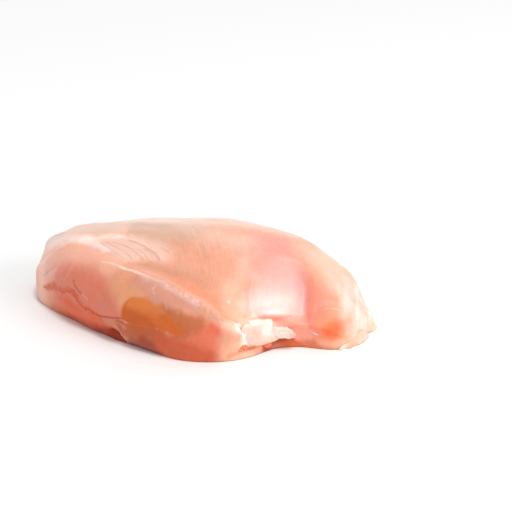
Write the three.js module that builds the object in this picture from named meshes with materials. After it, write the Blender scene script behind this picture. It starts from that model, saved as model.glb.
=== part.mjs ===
// A raw chicken breast, boneless and without skin, as it lies on a table.
// Millimetres, +Z up. +X points to the thick front end, -Y to the keel side, where the breastbone was.
// The form is built in three steps: a smooth mass inside a closed outline, the notch that the knife
// left at the front end, and the relief of ridges, furrows, folds and lumps along the surface normals.
import * as THREE from "three";

// The crown is the height the meat would have without its rolled rim: a dome, highest at SUMMIT,
// that falls off along its long axis, toward its far side and toward its near side.
const SUMMIT = { x: 0, y: -8, height: 36.9 };
const LONG_AXIS_TURN = THREE.MathUtils.degToRad(48);
const FALL_ALONG = 0.0037;
const FALL_FAR_SIDE = 0.0086;
const FAR_SIDE_REACH = 60;
const FALL_NEAR_SIDE = 0.0019;

// Broad swells (up) and sags (down) of the crown: each is a bell with its own length, width and turn.
const SWELLS = [
  { name: "sag above the notch", x: 62, y: -14, length: 18, width: 28, turn: 70, rise: -25 },
  { name: "sag behind the keel ridge", x: 23, y: -28, length: 40, width: 19.5, turn: 0, rise: -9 },
  { name: "tail shoulder", x: -56, y: -26, length: 24, width: 20, turn: 0, rise: 4.4 },
  { name: "fall to the lateral edge", x: 54, y: 36, length: 18, width: 14, turn: 40, rise: -4 },
];

// The widest line of the meat seen from above, once round. belly is how high that line lies,
// undercut how far the foot stands inside it, roll how wide the rounded rim above it is, slope turns
// the rim from a bulging wall (0) to a sloping face (1), and notch is how deep the knife cut in.
const OUTLINE = [
  { name: "front corner at the keel", x: 38, y: -46.5, belly: 7, undercut: 4.5, roll: 17, slope: 0, notch: 0 },
  { name: "front corner", x: 48, y: -38, belly: 7, undercut: 4.5, roll: 15, slope: 0, notch: 0 },
  { name: "root of the fat tab", x: 56, y: -25, belly: 7, undercut: 6, roll: 20, slope: 0.3, notch: 4.5 },
  { name: "middle of the notch", x: 62, y: -12, belly: 7, undercut: 5, roll: 30, slope: 0.6, notch: 11.5 },
  { name: "end of the notch", x: 67, y: -2, belly: 7, undercut: 5, roll: 34, slope: 0.8, notch: 10.5 },
  { name: "front of the lobe", x: 70, y: 6, belly: 6, undercut: 5, roll: 36, slope: 0.8, notch: 1 },
  { name: "nose of the lobe", x: 72, y: 14, belly: 6, undercut: 4, roll: 36, slope: 0.7, notch: 0 },
  { name: "back of the lobe", x: 70, y: 24, belly: 6, undercut: 4, roll: 32, slope: 0.4, notch: 0 },
  { name: "heel of the lobe", x: 62, y: 33, belly: 6, undercut: 4, roll: 28, slope: 0.1, notch: 0 },
  { name: "lateral edge, front", x: 51, y: 39.5, belly: 6, undercut: 5, roll: 26, slope: 0, notch: 0 },
  { name: "lateral edge, shoulder", x: 36, y: 48, belly: 7, undercut: 6, roll: 30, slope: 0.1, notch: 0 },
  { name: "lateral edge, middle", x: 12, y: 51.5, belly: 7, undercut: 6, roll: 34, slope: 0.2, notch: 0 },
  { name: "lateral edge, behind the middle", x: -13, y: 46, belly: 7, undercut: 6, roll: 36, slope: 0.2, notch: 0 },
  { name: "lateral edge, back", x: -36, y: 33, belly: 7, undercut: 6, roll: 34, slope: 0.2, notch: 0 },
  { name: "tail, lateral side", x: -54, y: 14, belly: 7, undercut: 6, roll: 32, slope: 0.2, notch: 0 },
  { name: "tip of the tail", x: -67, y: -8, belly: 7, undercut: 6, roll: 28, slope: 0.2, notch: 0 },
  { name: "tail, keel side", x: -70, y: -27, belly: 8, undercut: 6, roll: 24, slope: 0.1, notch: 0 },
  { name: "corner of tail and keel", x: -60, y: -42, belly: 9, undercut: 5, roll: 21, slope: 0, notch: 0 },
  { name: "keel side, back", x: -50, y: -50, belly: 9, undercut: 5, roll: 21, slope: 0, notch: 0 },
  { name: "keel side, before the back", x: -34, y: -53.5, belly: 9, undercut: 5, roll: 20, slope: 0, notch: 0 },
  { name: "keel side, behind the middle", x: -14, y: -55, belly: 8, undercut: 5, roll: 20, slope: 0, notch: 0 },
  { name: "keel side, middle", x: -2, y: -54, belly: 8, undercut: 5, roll: 20, slope: 0, notch: 0 },
  { name: "keel side, at the crease", x: 9, y: -53.5, belly: 8, undercut: 5, roll: 19, slope: 0, notch: 0 },
  { name: "keel side, front", x: 25, y: -50.5, belly: 7, undercut: 5, roll: 18, slope: 0, notch: 0 },
];
const NOTCH_SOFTNESS = 0.12;

// Ridges and furrows follow a route on the surface. below and above are the half widths on its two
// sides, and rise gives the height at its start, middle and end, with furrows below zero.
const STROKES = [
  { name: "keel ridge", below: 3.2, above: 1.5, rise: [0.2, 1.3, 1.6],
    route: [[-7, -45, 28], [10, -43, 28], [23, -40, 26], [37, -38, 24], [45, -33, 19], [50, -26, 12]] },
  { name: "trough above the ridge", below: 3, above: 4.5, rise: [-0.2, -1.6, -1.6],
    route: [[14, -33, 27], [29, -33, 24], [38, -30, 21], [44, -26, 16]] },
  { name: "tail crest", below: 2.4, above: 3.4, rise: [2.6, 1.2, 0.3],
    route: [[-66, -37, 17], [-51, -37, 24], [-37, -38, 29], [-26, -31, 31], [-25, -22, 32]] },
  { name: "groove below the crest", below: 2.5, above: 2, rise: [-0.6, -0.7, 0],
    route: [[-55, -45, 16], [-37, -45, 25], [-20, -42, 29]] },
  { name: "crease in the keel side", below: 2.2, above: 2.2, rise: [-2.4, -1.4, -0.2],
    route: [[5, -53, 0], [9, -53.5, 5], [13, -53, 12]] },
  { name: "torn edge of the membrane", below: 1.8, above: 1, rise: [0.7, 0.5, 0.3],
    route: [[-43, -52, 9], [-28, -54, 12], [-14, -55, 13], [-5, -54.5, 8], [12, -53, 12]] },
  { name: "furrow between face and lobe", below: 4, above: 3, rise: [-0.4, -1.8, -1.4],
    route: [[46, 17, 24], [52, 12, 20], [57, 7, 15], [60, 3, 11]] },
  { name: "arc over the lobe", below: 1.4, above: 1.6, rise: [-0.7, -0.9, -0.6],
    route: [[59, 3, 11], [60, 8, 14], [64, 13, 14], [69, 14, 9]] },
  { name: "first fold of the lobe", below: 1.8, above: 1.8, rise: [0.2, 0.9, 0.4],
    route: [[52, 30, 15], [62, 24, 13], [69, 18, 10], [72, 14, 5]] },
  { name: "second fold of the lobe", below: 1.8, above: 1.8, rise: [0.2, 0.9, 0.4],
    route: [[48, 38, 12], [59, 32, 11], [69, 24, 8], [72, 20, 3]] },
  { name: "frill round the lobe", below: 3, above: 2.6, rise: [1, 3.4, 0.6],
    route: [[58, 37, 3.5], [66, 30, 3.5], [72, 21, 3], [73, 12, 2.5], [71, 6, 2]] },
  { name: "lateral furrow", below: 5, above: 5, rise: [0, -1.2, 0],
    route: [[40, 38, 22], [14, 44, 19], [-14, 39, 18], [-36, 26, 17]] },
  { name: "tail furrow", below: 4, above: 4, rise: [0, -1, 0],
    route: [[-54, 6, 16], [-54, -8, 21], [-44, -16, 28]] },
];

// Lumps and hollows swell along the surface normal. The fat tab hangs off the wall of the notch,
// so its three lumps swell straight outward instead.
const LUMPS = [
  { name: "end of the keel ridge", centre: [51, -29, 9], radius: 4.5, rise: 1.2, outward: false },
  { name: "fat tab, root", centre: [54, -23, 7], radius: 4, rise: 2.5, outward: true },
  { name: "fat tab, body", centre: [51.5, -14, 7.5], radius: 4.6, rise: 5.5, outward: true },
  { name: "fat tab, tip", centre: [54, -7, 6], radius: 3.6, rise: 5, outward: true },
  { name: "lobe", centre: [67, 8, 8.5], radius: 7, rise: 1.5, outward: false },
  { name: "flank of the tail", centre: [-20, -55, 17], radius: 14, rise: 1, outward: false },
  { name: "corner of the tail", centre: [-62, -34, 12], radius: 10, rise: 1, outward: false },
];

// Soft meat is never quite even: long low waves run through the whole surface.
const WAVES = [
  { lengths: [61, 47, 33], shift: 0.3, height: 0.35 },
  { lengths: [37, -41, 29], shift: 1.9, height: 0.25 },
  { lengths: [-24, 31, 19], shift: 4.1, height: 0.16 },
];
const RELIEF_STARTS_AT = 3;

// The columns of the surface meet under and over this point.
const CENTRE = new THREE.Vector2(2, -2);
const COLUMNS_PER_POINT = 4;
const UNDERSIDE_ROWS = 3;
const FOOT_ROWS = 5;
const WALL_ROWS = 30;
const FIRST_RING = 0.06;
const ROUTE_STEPS = 12;

// One coordinate of a Catmull-Rom curve between b and c, with its neighbours a and d.
function catmullRom(a, b, c, d, t) {
  const linear = (c - a) * t;
  const square = (2 * a - 5 * b + 4 * c - d) * t * t;
  const cubic = (3 * b - a - 3 * c + d) * t * t * t;
  return 0.5 * (2 * b + linear + square + cubic);
}

// The outline as a closed curve: every value of its points runs smoothly from one to the next.
function outlineColumns() {
  const columns = [];
  const count = OUTLINE.length;
  for (let i = 0; i < count; i += 1) {
    const around = [-1, 0, 1, 2].map((step) => OUTLINE[(i + step + count) % count]);
    for (let s = 0; s < COLUMNS_PER_POINT; s += 1) {
      const value = (key) => catmullRom(...around.map((point) => point[key]), s / COLUMNS_PER_POINT);
      const out = new THREE.Vector2(value("x"), value("y")).sub(CENTRE);
      columns.push({
        direction: out.clone().normalize(),
        radius: out.length(),
        belly: value("belly"),
        undercut: value("undercut"),
        roll: value("roll"),
        slope: value("slope"),
        notch: Math.max(value("notch"), 0),
      });
    }
  }
  return columns;
}

function crownHeight(x, y) {
  const dx = x - SUMMIT.x;
  const dy = y - SUMMIT.y;
  const along = dx * Math.cos(LONG_AXIS_TURN) + dy * Math.sin(LONG_AXIS_TURN);
  const across = dy * Math.cos(LONG_AXIS_TURN) - dx * Math.sin(LONG_AXIS_TURN);
  const farFall = FALL_FAR_SIDE / (1 + (across / FAR_SIDE_REACH) ** 2);
  const fall = across > 0 ? farFall : FALL_NEAR_SIDE;
  let height = SUMMIT.height - FALL_ALONG * along * along - fall * across * across;
  for (const swell of SWELLS) {
    const turn = THREE.MathUtils.degToRad(swell.turn);
    const ex = x - swell.x;
    const ey = y - swell.y;
    const lengthwise = (ex * Math.cos(turn) + ey * Math.sin(turn)) / swell.length;
    const crosswise = (ey * Math.cos(turn) - ex * Math.sin(turn)) / swell.width;
    height += swell.rise * Math.exp(-(lengthwise ** 2 + crosswise ** 2));
  }
  return height;
}

// A point on a column at a distance from the centre, held back by the notch where it would stand
// outside the cut.
function place(column, distance, height) {
  const over = distance - (column.radius - column.notch);
  const soft = 2 * NOTCH_SOFTNESS * column.notch;
  const pushed = column.notch > 0 ? (over + Math.hypot(over, soft)) / 2 : 0;
  const kept = distance - Math.min(pushed, distance);
  return new THREE.Vector3(
    CENTRE.x + column.direction.x * kept,
    CENTRE.y + column.direction.y * kept,
    height,
  );
}

// The rows of the smooth mass: the flat underside from the middle out, the foot that curls up to the
// belly line, and the wall that rolls over to the crown.
function massRows(columns) {
  const rows = [];
  for (let i = 0; i < UNDERSIDE_ROWS; i += 1) {
    const reach = FIRST_RING + (1 - FIRST_RING) * (i / UNDERSIDE_ROWS);
    rows.push(columns.map((column) => place(column, reach * (column.radius - column.undercut), 0)));
  }
  for (let i = 0; i < FOOT_ROWS; i += 1) {
    const angle = (i / FOOT_ROWS) * (Math.PI / 2);
    rows.push(columns.map((column) => {
      const distance = column.radius - column.undercut * (1 - Math.sin(angle));
      return place(column, distance, column.belly * (1 - Math.cos(angle)));
    }));
  }
  for (let i = 0; i < WALL_ROWS; i += 1) {
    const reach = 1 - (i / WALL_ROWS) ** 2;
    rows.push(columns.map((column) => {
      const distance = reach * column.radius;
      const inset = Math.min((column.radius - distance) / column.roll, 1);
      const fill = 1 - (1 - inset) ** 3;
      const rim = (1 - column.slope) * Math.sqrt(fill) + column.slope * fill;
      const x = CENTRE.x + column.direction.x * distance;
      const y = CENTRE.y + column.direction.y * distance;
      return place(column, distance, column.belly + (crownHeight(x, y) - column.belly) * rim);
    }));
  }
  return rows;
}

// The surface normal at each point of the rows, from its four neighbours.
function normalRows(rows) {
  return rows.map((row, r) => row.map((point, c) => {
    const along = new THREE.Vector3().subVectors(
      row[(c + 1) % row.length],
      row[(c - 1 + row.length) % row.length],
    );
    const up = new THREE.Vector3().subVectors(
      rows[Math.min(r + 1, rows.length - 1)][c],
      rows[Math.max(r - 1, 0)][c],
    );
    return along.cross(up).normalize();
  }));
}

// A route as a smooth open line through its points.
function routeLine(route) {
  const points = route.map((point) => new THREE.Vector3(...point));
  const curve = new THREE.CatmullRomCurve3(points, false, "catmullrom", 0.5);
  return curve.getPoints(ROUTE_STEPS * (route.length - 1));
}

function strokeLift(stroke, point, normal) {
  const last = stroke.line.length - 1;
  let nearest = 0;
  for (let i = 1; i <= last; i += 1) {
    if (point.distanceToSquared(stroke.line[i]) < point.distanceToSquared(stroke.line[nearest])) nearest = i;
  }
  const before = stroke.line[Math.max(nearest - 1, 0)];
  const after = stroke.line[Math.min(nearest + 1, last)];
  const upward = new THREE.Vector3().crossVectors(normal, new THREE.Vector3().subVectors(after, before));
  const gap = new THREE.Vector3().subVectors(point, stroke.line[nearest]);
  const width = gap.dot(upward) > 0 ? stroke.above : stroke.below;
  const t = nearest / last;
  const [start, middle, end] = stroke.rise;
  const rise = (1 - t) * (1 - 2 * t) * start + 4 * t * (1 - t) * middle + t * (2 * t - 1) * end;
  return rise * Math.exp(-gap.lengthSq() / width ** 2);
}

function lumpLift(lump, point) {
  const gap = point.distanceToSquared(new THREE.Vector3(...lump.centre));
  return lump.rise * Math.exp(-gap / lump.radius ** 2);
}

function waveLift(wave, point) {
  const turns = point.x / wave.lengths[0] + point.y / wave.lengths[1] + point.z / wave.lengths[2];
  return wave.height * Math.sin(2 * Math.PI * turns + wave.shift);
}

const sum = (values) => values.reduce((total, value) => total + value, 0);

// Moves a point of the mass to its place in the relief. The relief fades out toward the flat foot.
function raised(point, normal, strokes) {
  const outward = new THREE.Vector3(point.x - CENTRE.x, point.y - CENTRE.y, 0).normalize();
  const fade = Math.min(point.z / RELIEF_STARTS_AT, 1);
  const along = sum(strokes.map((stroke) => strokeLift(stroke, point, normal)))
    + sum(LUMPS.filter((lump) => !lump.outward).map((lump) => lumpLift(lump, point)))
    + sum(WAVES.map((wave) => waveLift(wave, point)));
  const out = sum(LUMPS.filter((lump) => lump.outward).map((lump) => lumpLift(lump, point)));
  return point.clone().addScaledVector(normal, along * fade).addScaledVector(outward, out * fade);
}

// Joins the rows to one closed surface, with a fan round the middle of the underside and of the crown.
function closedGeometry(rows) {
  const across = rows[0].length;
  const middle = (row) => row.reduce((total, point) => total.add(point), new THREE.Vector3())
    .divideScalar(across);
  const points = [...rows.flat(), middle(rows[0]), middle(rows.at(-1))];
  const low = points.length - 2;
  const high = points.length - 1;
  const faces = [];
  for (let c = 0; c < across; c += 1) {
    const next = (c + 1) % across;
    faces.push(low, next, c);
    for (let r = 0; r < rows.length - 1; r += 1) {
      const here = r * across;
      const above = here + across;
      faces.push(here + c, here + next, above + next, here + c, above + next, above + c);
    }
    const top = (rows.length - 1) * across;
    faces.push(high, top + c, top + next);
  }
  const geometry = new THREE.BufferGeometry().setFromPoints(points);
  geometry.setIndex(faces);
  return geometry;
}

// The origin stands at the middle of the underside of the box round the meat.
function centredOnFloor(geometry) {
  geometry.computeBoundingBox();
  const middle = geometry.boundingBox.getCenter(new THREE.Vector3());
  geometry.translate(-middle.x, -middle.y, -geometry.boundingBox.min.z);
  geometry.computeVertexNormals();
  return geometry;
}

function breastGeometry() {
  const strokes = STROKES.map((stroke) => ({ ...stroke, line: routeLine(stroke.route) }));
  const mass = massRows(outlineColumns());
  const normals = normalRows(mass);
  const rows = mass.map((row, r) => row.map((point, c) => raised(point, normals[r][c], strokes)));
  return centredOnFloor(closedGeometry(rows));
}

const rawMeat = new THREE.MeshStandardMaterial({ color: "#edb59d", roughness: 0.3, metalness: 0 });
rawMeat.name = "raw_meat";

const breast = new THREE.Mesh(breastGeometry(), rawMeat);
breast.name = "breast";

const group = new THREE.Group();
group.name = "raw_chicken_breast";
group.add(breast);

export default group;
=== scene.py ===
import bpy
import numpy as np
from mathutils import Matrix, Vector


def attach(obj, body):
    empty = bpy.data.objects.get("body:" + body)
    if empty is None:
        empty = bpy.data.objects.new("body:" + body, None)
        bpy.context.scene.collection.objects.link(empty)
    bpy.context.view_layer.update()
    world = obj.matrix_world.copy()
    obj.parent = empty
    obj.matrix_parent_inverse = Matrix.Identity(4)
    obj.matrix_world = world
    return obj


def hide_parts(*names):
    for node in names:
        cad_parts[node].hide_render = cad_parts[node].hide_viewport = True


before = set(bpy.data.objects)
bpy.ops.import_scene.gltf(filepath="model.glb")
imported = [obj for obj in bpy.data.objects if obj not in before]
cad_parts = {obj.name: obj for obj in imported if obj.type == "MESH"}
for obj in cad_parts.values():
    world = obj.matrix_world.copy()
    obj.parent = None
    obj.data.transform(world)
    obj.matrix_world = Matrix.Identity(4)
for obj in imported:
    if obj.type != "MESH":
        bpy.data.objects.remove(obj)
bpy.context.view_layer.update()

MM = 0.001
# Where the middle of the meat's box stands in the drawing's millimetres
BOX_MIDDLE = np.array([1.794, -2.197, 0.0])

# The crown: a dome, highest at SUMMIT, that falls along its long axis, to its far and its near side.
SUMMIT = (0, -8, 36.9)
LONG_AXIS_TURN = np.radians(48)
FALL_ALONG = 0.0037
FALL_FAR_SIDE = 0.0086
FAR_SIDE_REACH = 60
FALL_NEAR_SIDE = 0.0019

# Broad swells and sags of the crown: x, y, length, width, turn in degrees, rise
SWELLS = {
    "sag above the notch": (62, -14, 18, 28, 70, -25),
    "sag behind the keel ridge": (23, -28, 40, 19.5, 0, -9),
    "tail shoulder": (-56, -26, 24, 20, 0, 4.4),
    "fall to the lateral edge": (54, 36, 18, 14, 40, -4),
}

# The meat's outline in plan, point by point: x, y, height of the belly line, undercut of the foot, width
# of the rolled rim, slope of the rim (0 a bulging wall, 1 a sloping face), depth of the notch
OUTLINE = {
    "front corner at the keel": (38, -46.5, 7, 4.5, 17, 0, 0),
    "front corner": (48, -38, 7, 4.5, 15, 0, 0),
    "root of the fat tab": (56, -25, 7, 6, 20, 0.3, 4.5),
    "middle of the notch": (62, -12, 7, 5, 30, 0.6, 11.5),
    "end of the notch": (67, -2, 7, 5, 34, 0.8, 10.5),
    "front of the lobe": (70, 6, 6, 5, 36, 0.8, 1),
    "nose of the lobe": (72, 14, 6, 4, 36, 0.7, 0),
    "back of the lobe": (70, 24, 6, 4, 32, 0.4, 0),
    "heel of the lobe": (62, 33, 6, 4, 28, 0.1, 0),
    "lateral edge, front": (51, 39.5, 6, 5, 26, 0, 0),
    "lateral edge, shoulder": (36, 48, 7, 6, 30, 0.1, 0),
    "lateral edge, middle": (12, 51.5, 7, 6, 34, 0.2, 0),
    "lateral edge, behind the middle": (-13, 46, 7, 6, 36, 0.2, 0),
    "lateral edge, back": (-36, 33, 7, 6, 34, 0.2, 0),
    "tail, lateral side": (-54, 14, 7, 6, 32, 0.2, 0),
    "tip of the tail": (-67, -8, 7, 6, 28, 0.2, 0),
    "tail, keel side": (-70, -27, 8, 6, 24, 0.1, 0),
    "corner of tail and keel": (-60, -42, 9, 5, 21, 0, 0),
    "keel side, back": (-50, -50, 9, 5, 21, 0, 0),
    "keel side, before the back": (-34, -53.5, 9, 5, 20, 0, 0),
    "keel side, behind the middle": (-14, -55, 8, 5, 20, 0, 0),
    "keel side, middle": (-2, -54, 8, 5, 20, 0, 0),
    "keel side, at the crease": (9, -53.5, 8, 5, 19, 0, 0),
    "keel side, front": (25, -50.5, 7, 5, 18, 0, 0),
}
# How gently the notch sets in, as a share of its depth
NOTCH_SOFTNESS = 0.07

# Ridges and furrows that run along a route: half width below the route, half width above it, rise at its
# start, middle and end, route
STROKES = {
    "keel ridge": (3.2, 1.5, (0.2, 1.3, 1.6), [
        (-7, -45, 28), (10, -43, 28), (23, -40, 26), (37, -38, 24), (45, -33, 19), (50, -26, 12)]),
    "trough above the ridge": (3, 4.5, (-0.2, -1.6, -1.6), [
        (14, -33, 27), (29, -33, 24), (38, -30, 21), (44, -26, 16)]),
    "tail crest": (2.4, 3.4, (2.6, 1.2, 0.3), [
        (-66, -37, 17), (-51, -37, 24), (-37, -38, 29), (-26, -31, 31), (-25, -22, 32)]),
    "groove below the crest": (2.5, 2, (-0.6, -0.7, 0), [
        (-55, -45, 16), (-37, -45, 25), (-20, -42, 29)]),
    "crease in the keel side": (2.2, 2.2, (-2.4, -1.4, -0.2), [
        (5, -53, 0), (9, -53.5, 5), (13, -53, 12)]),
    "torn edge of the membrane": (1.8, 1, (0.4, 0.4, 0.3), [
        (-43, -52, 9), (-28, -54, 12), (-14, -55, 13), (-5, -54.5, 8), (12, -53, 12)]),
    "furrow between face and lobe": (4, 4, (-0.2, -0.7, -0.4), [
        (46, 17, 24), (52, 12, 20), (57, 7, 15), (60, 3, 11)]),
    "arc over the lobe": (1.6, 2.0, (-0.1, -0.4, -0.2), [
        (59, 3, 11), (60, 8, 14), (64, 13, 14), (69, 14, 9)]),
    "first fold of the lobe": (2.0, 2.0, (0.1, 0.45, 0.2), [
        (52, 30, 15), (62, 24, 13), (69, 18, 10), (72, 14, 5)]),
    "second fold of the lobe": (2.0, 2.0, (0.1, 0.45, 0.2), [
        (48, 38, 12), (59, 32, 11), (69, 24, 8), (72, 20, 3)]),
    "frill round the lobe": (3, 2.6, (0.3, 0.5, 0.2), [
        (58, 37, 3.5), (66, 30, 3.5), (72, 21, 3), (73, 12, 2.5), (71, 6, 2)]),
    "lateral furrow": (5, 5, (0, -1.2, 0), [(40, 38, 22), (14, 44, 19), (-14, 39, 18), (-36, 26, 17)]),
    "tail furrow": (4, 4, (0, -1, 0), [(-54, 6, 16), (-54, -8, 21), (-44, -16, 28)]),
}

# Round lumps and hollows: centre, radius, rise
LUMPS = {
    "end of the keel ridge": ((51, -29, 9), 4.5, 1.2),
    "lobe": ((67, 8, 8.5), 7, 1.5),
    "flank of the tail": ((-20, -55, 17), 14, 1),
    "corner of the tail": ((-62, -34, 12), 10, 1),
    "flat of the crown": ((-12, -2, 33), 19, -1.5),
    "fall behind the crown": ((-36, -14, 31), 15, -0.5),
}

# Slow waves all over: lengths along x, y and z, shift, height
WAVES = [((61, 47, 33), 0.3, 0.35), ((37, -41, 29), 1.9, 0.25), ((-24, 31, 19), 4.1, 0.16)]

# Heights above the table over which the broad and the fine relief set in
RELIEF_STARTS_AT = 3
FINE_RELIEF_STARTS_AT = 0.8

# How much of its undercut the foot keeps, at places from the tail's end to the lobe's along the front
# end's first direction: the tail curls under, the lobe sags onto its foot.
FOOT_CURL_PLACES = (-70, -62, -57, -43, -36, -28, -16, -8, 5, 15, 22, 26, 45)
FOOT_CURL = (0.1, 0.4, 0.7, 0.6, 0.6, 0.75, 0.6, 0.45, 0.4, 0.45, 0.4, 0.1, 0.1)
# How far the foot flares out in the notch, as a share of the notch's depth
NOTCH_FLARE = 0.24
# The foot's curve in height: 1 a straight slope, more a rounder one
FOOT_BEND = 1.4

# Finer relief that only a fine surface can hold, in the same form as the strokes above.
FINE_STROKES = {
    "thin start of the ridge": (0.8, 0.6, (0, 0.45, 0.7), [
        (-7, -45.5, 28.3), (2, -45, 28.2), (15, -44, 28.1), (26, -42, 27)]),
    "valley behind the ridge": (0.8, 1.4, (-0.1, -0.6, -0.5), [
        (4, -43, 28.5), (18, -41.5, 28), (30, -38, 26.5), (40, -36, 24), (46, -31, 19)]),
    "lower edge of the ridge": (1.8, 0.7, (-0.03, -0.06, -0.03), [
        (24, -44.5, 25.5), (34, -43, 24), (42, -40.5, 20), (47, -36, 16)]),
    "corner of the tail film": (7, 6, (1.4, 0.9, 0), [(-66, -34, 16), (-60, -38, 19), (-52, -40, 23)]),
    "notch under the tail film": (1.6, 2.2, (-0.6, -0.5, -0.1), [
        (-66, -36, 11), (-59, -43, 13), (-50, -46, 18)]),
    "small tear": (0.45, 0.5, (-0.1, -0.2, -0.05), [
        (-18, -54, 18.4), (-14, -54, 17.1), (-10, -55, 15.7), (-8, -55, 14.3)]),
    "dark line to the patch": (0.5, 0.7, (-0.1, -0.18, -0.05), [
        (-2.4, -54.3, 9.4), (0.5, -54.5, 9.6), (3.9, -54.5, 10.4), (7, -54.4, 11),
        (12.4, -53.1, 11.9)]),
    "step in the foot": (1.0, 5, (-1.2, -2.0, -0.2), [
        (12, -51.2, -0.5), (8.5, -52.4, 2.4), (5, -54, 6.4)]),
    "lip over the cut": (1.0, 1.8, (0.1, 0.25, 0.02), [
        (44.5, -13, 11.2), (46.5, -9, 11), (49.4, -4.8, 11.1), (53.7, -1, 11.3), (57.5, 2, 10.6)]),
    "cut under the lip": (1.8, 0.9, (-0.1, -0.25, -0.02), [
        (46, -12, 9.2), (48.5, -7.5, 9), (51.5, -3.5, 9.3), (56, -0.5, 9.6)]),
    "arc over the bulge": (0.5, 0.6, (0.03, 0.08, 0.04), [
        (59, 4, 10.4), (61, 8, 13.3), (63.5, 11, 14), (66, 13.5, 13), (69.5, 14.5, 10),
        (72.5, 12, 6.5)]),
    "hollow outside the arc": (2.4, 3.2, (-0.1, -0.2, -0.2), [
        (60, 8, 14.6), (62.5, 12, 15.2), (66, 15.5, 13.6), (70, 16.5, 10.4), (73.5, 14, 6.5)]),
    "streak beside the bulge": (3.6, 3.6, (0.05, 0.15, 0.05), [
        (49, 33, 16.5), (58, 24, 16.6), (64, 18, 15.2), (68, 16.5, 12.4)]),
    "fold under the streak": (1.0, 1.2, (-0.1, -0.35, -0.25), [
        (50, 35, 14), (60, 26.5, 14.2), (67, 19.5, 12.4), (71.5, 17, 8)]),
    "second fold under it": (1.0, 1.2, (-0.1, -0.35, -0.25), [
        (51, 37, 11.5), (61, 29, 11.5), (68.5, 22, 9.6), (73, 18.5, 5)]),
    "shoulder over the heel": (4, 4, (0.2, 1.7, 0.2), [
        (36, 46, 15), (41, 43, 14.5), (46, 40, 13.5), (51, 37.5, 13), (56, 34, 12.5)]),
    "waist of the heel": (3.5, 3.5, (-0.2, -1.5, -0.3), [
        (55, 35, 11.8), (60, 32.5, 11.2), (63.5, 30, 10.2), (67, 26.5, 9.4), (70, 22, 8)]),
    "side of the lobe, back": (5, 5, (0, -1.2, -0.6), [
        (60, 34, 6), (67, 27, 6), (72, 19, 5), (73, 12, 4)]),
    "line on the tail corner": (0.4, 0.5, (0.05, 0.25, 0.05), [
        (-53, -42.5, 18.5), (-49, -43, 22.2), (-46, -41.5, 25.4)]),
    "second line on the tail corner": (0.4, 0.5, (0.05, 0.2, 0.05), [
        (-49, -45, 18.8), (-42, -45, 23.3), (-39, -44, 26.8)]),
    "third line on the tail corner": (0.4, 0.5, (-0.05, -0.25, -0.05), [
        (-46, -47, 17.5), (-42, -47.5, 20.8), (-39, -46, 23.9), (-37, -45, 25.6)]),
    "groove on the tail corner": (0.5, 0.5, (-0.03, -0.12, -0.03), [
        (-44, -51, 13), (-40, -51, 16.2), (-35, -51, 19.2)]),
    "fine line on the tail side": (0.35, 0.35, (0.03, 0.08, 0.03), [
        (-24.2, -53.8, 17.2), (-22.4, -53, 20.6), (-21.8, -51.2, 23.8)]),
    "long membrane thread": (0.3, 0.3, (0.1, 0.2, 0.1), [
        (22, -45, 25.4), (26, -47, 23.4), (30, -47, 22)]),
    "short membrane thread": (0.3, 0.3, (0.1, 0.2, 0.1), [
        (23, -45, 25.3), (24, -43, 26.7), (24, -41, 27.7)]),
}

# Unevenness of the whole surface, and the roughness of the ridge's edge: height, size, seed
UNEVENNESS = [(0.07, 9, 5), (0.03, 4.5, 6)]
ROUGH_RIDGE = [(0.16, 1.7, 8)]
# How wide that roughness is, how far from the ridge it ends, and the share of the way over which it sets in
ROUGH_RIDGE_WIDTH = 1.8
ROUGH_RIDGE_REACH = 4
ROUGH_RIDGE_START = 0.3
# How far the tail film stands out of the meat
TAIL_FILM_THICKNESS = 0.2

# Fine wrinkles that fan out from the end of the tail film: thin grooves, each with its depth and route.
# Their rise at start, middle and end is WRINKLE_COURSE times the depth. Their darker colour is painted shade
# in the grooves, laid on by the wrinkle shade strength times the rise at the middle, so deeper grooves are
# painted darker.
WRINKLE_WIDTH = 0.42
WRINKLE_SHADE_COLOUR = "#c4805e"
WRINKLE_SHADE_STRENGTH = 2.4
WRINKLE_SOFTNESS = 0.8
WRINKLE_COURSE = (-0.2, -0.6, -0.2)
WRINKLES = {
    "lowest": (0.34, [
        (-22.7, -36.6, 29.9), (-18.4, -37.3, 29.4), (-12.4, -38.7, 29.7), (-6.5, -40.1, 29.9),
        (-1.9, -40.6, 29.6)]),
    "short, under the lowest": (0.2, [(-8.3, -41, 30), (-4.7, -41.6, 29.8), (-1, -42.4, 29.3)]),
    "second": (0.36, [
        (-22, -35.1, 30.1), (-18, -35.1, 29.9), (-12.1, -35.7, 29.8), (-6.4, -36.6, 29.8),
        (-2.3, -37.5, 29.8), (1.4, -38.9, 29.5)]),
    "third": (0.38, [
        (-18.4, -33.7, 30.3), (-15, -32.8, 30.1), (-11.5, -31.9, 30), (-6.4, -32.7, 29.8),
        (-2.3, -33.6, 29.8), (2.4, -35, 29.4), (4.2, -35.8, 29.1)]),
    "short, under the third": (0.2, [(-16.5, -34.6, 29.8), (-13.1, -34.2, 29.8), (-8.3, -34.8, 30)]),
    "fourth": (0.34, [
        (-6.2, -30.4, 29.9), (-2.5, -31, 29.7), (1.4, -32, 29.3), (4.1, -32.9, 28.9),
        (6.4, -34, 28.5)]),
    "fifth": (0.18, [(-3.5, -29, 29.8), (0.6, -29.8, 29.5), (3.8, -30.8, 29), (6.2, -32, 28.4)]),
    "highest": (0.42, [
        (-14.8, -28.3, 30.8), (-11.5, -27.3, 30.6), (-8, -26.8, 30.1), (-3.7, -26.9, 29.7),
        (0.9, -27.5, 29.5), (4.2, -28.3, 28.8), (6.9, -29.3, 28)]),
    "apart": (0.28, [(-1.6, -22.3, 29.9), (1.6, -22.8, 29.6), (4.2, -22.9, 29.5)]),
}

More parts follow.
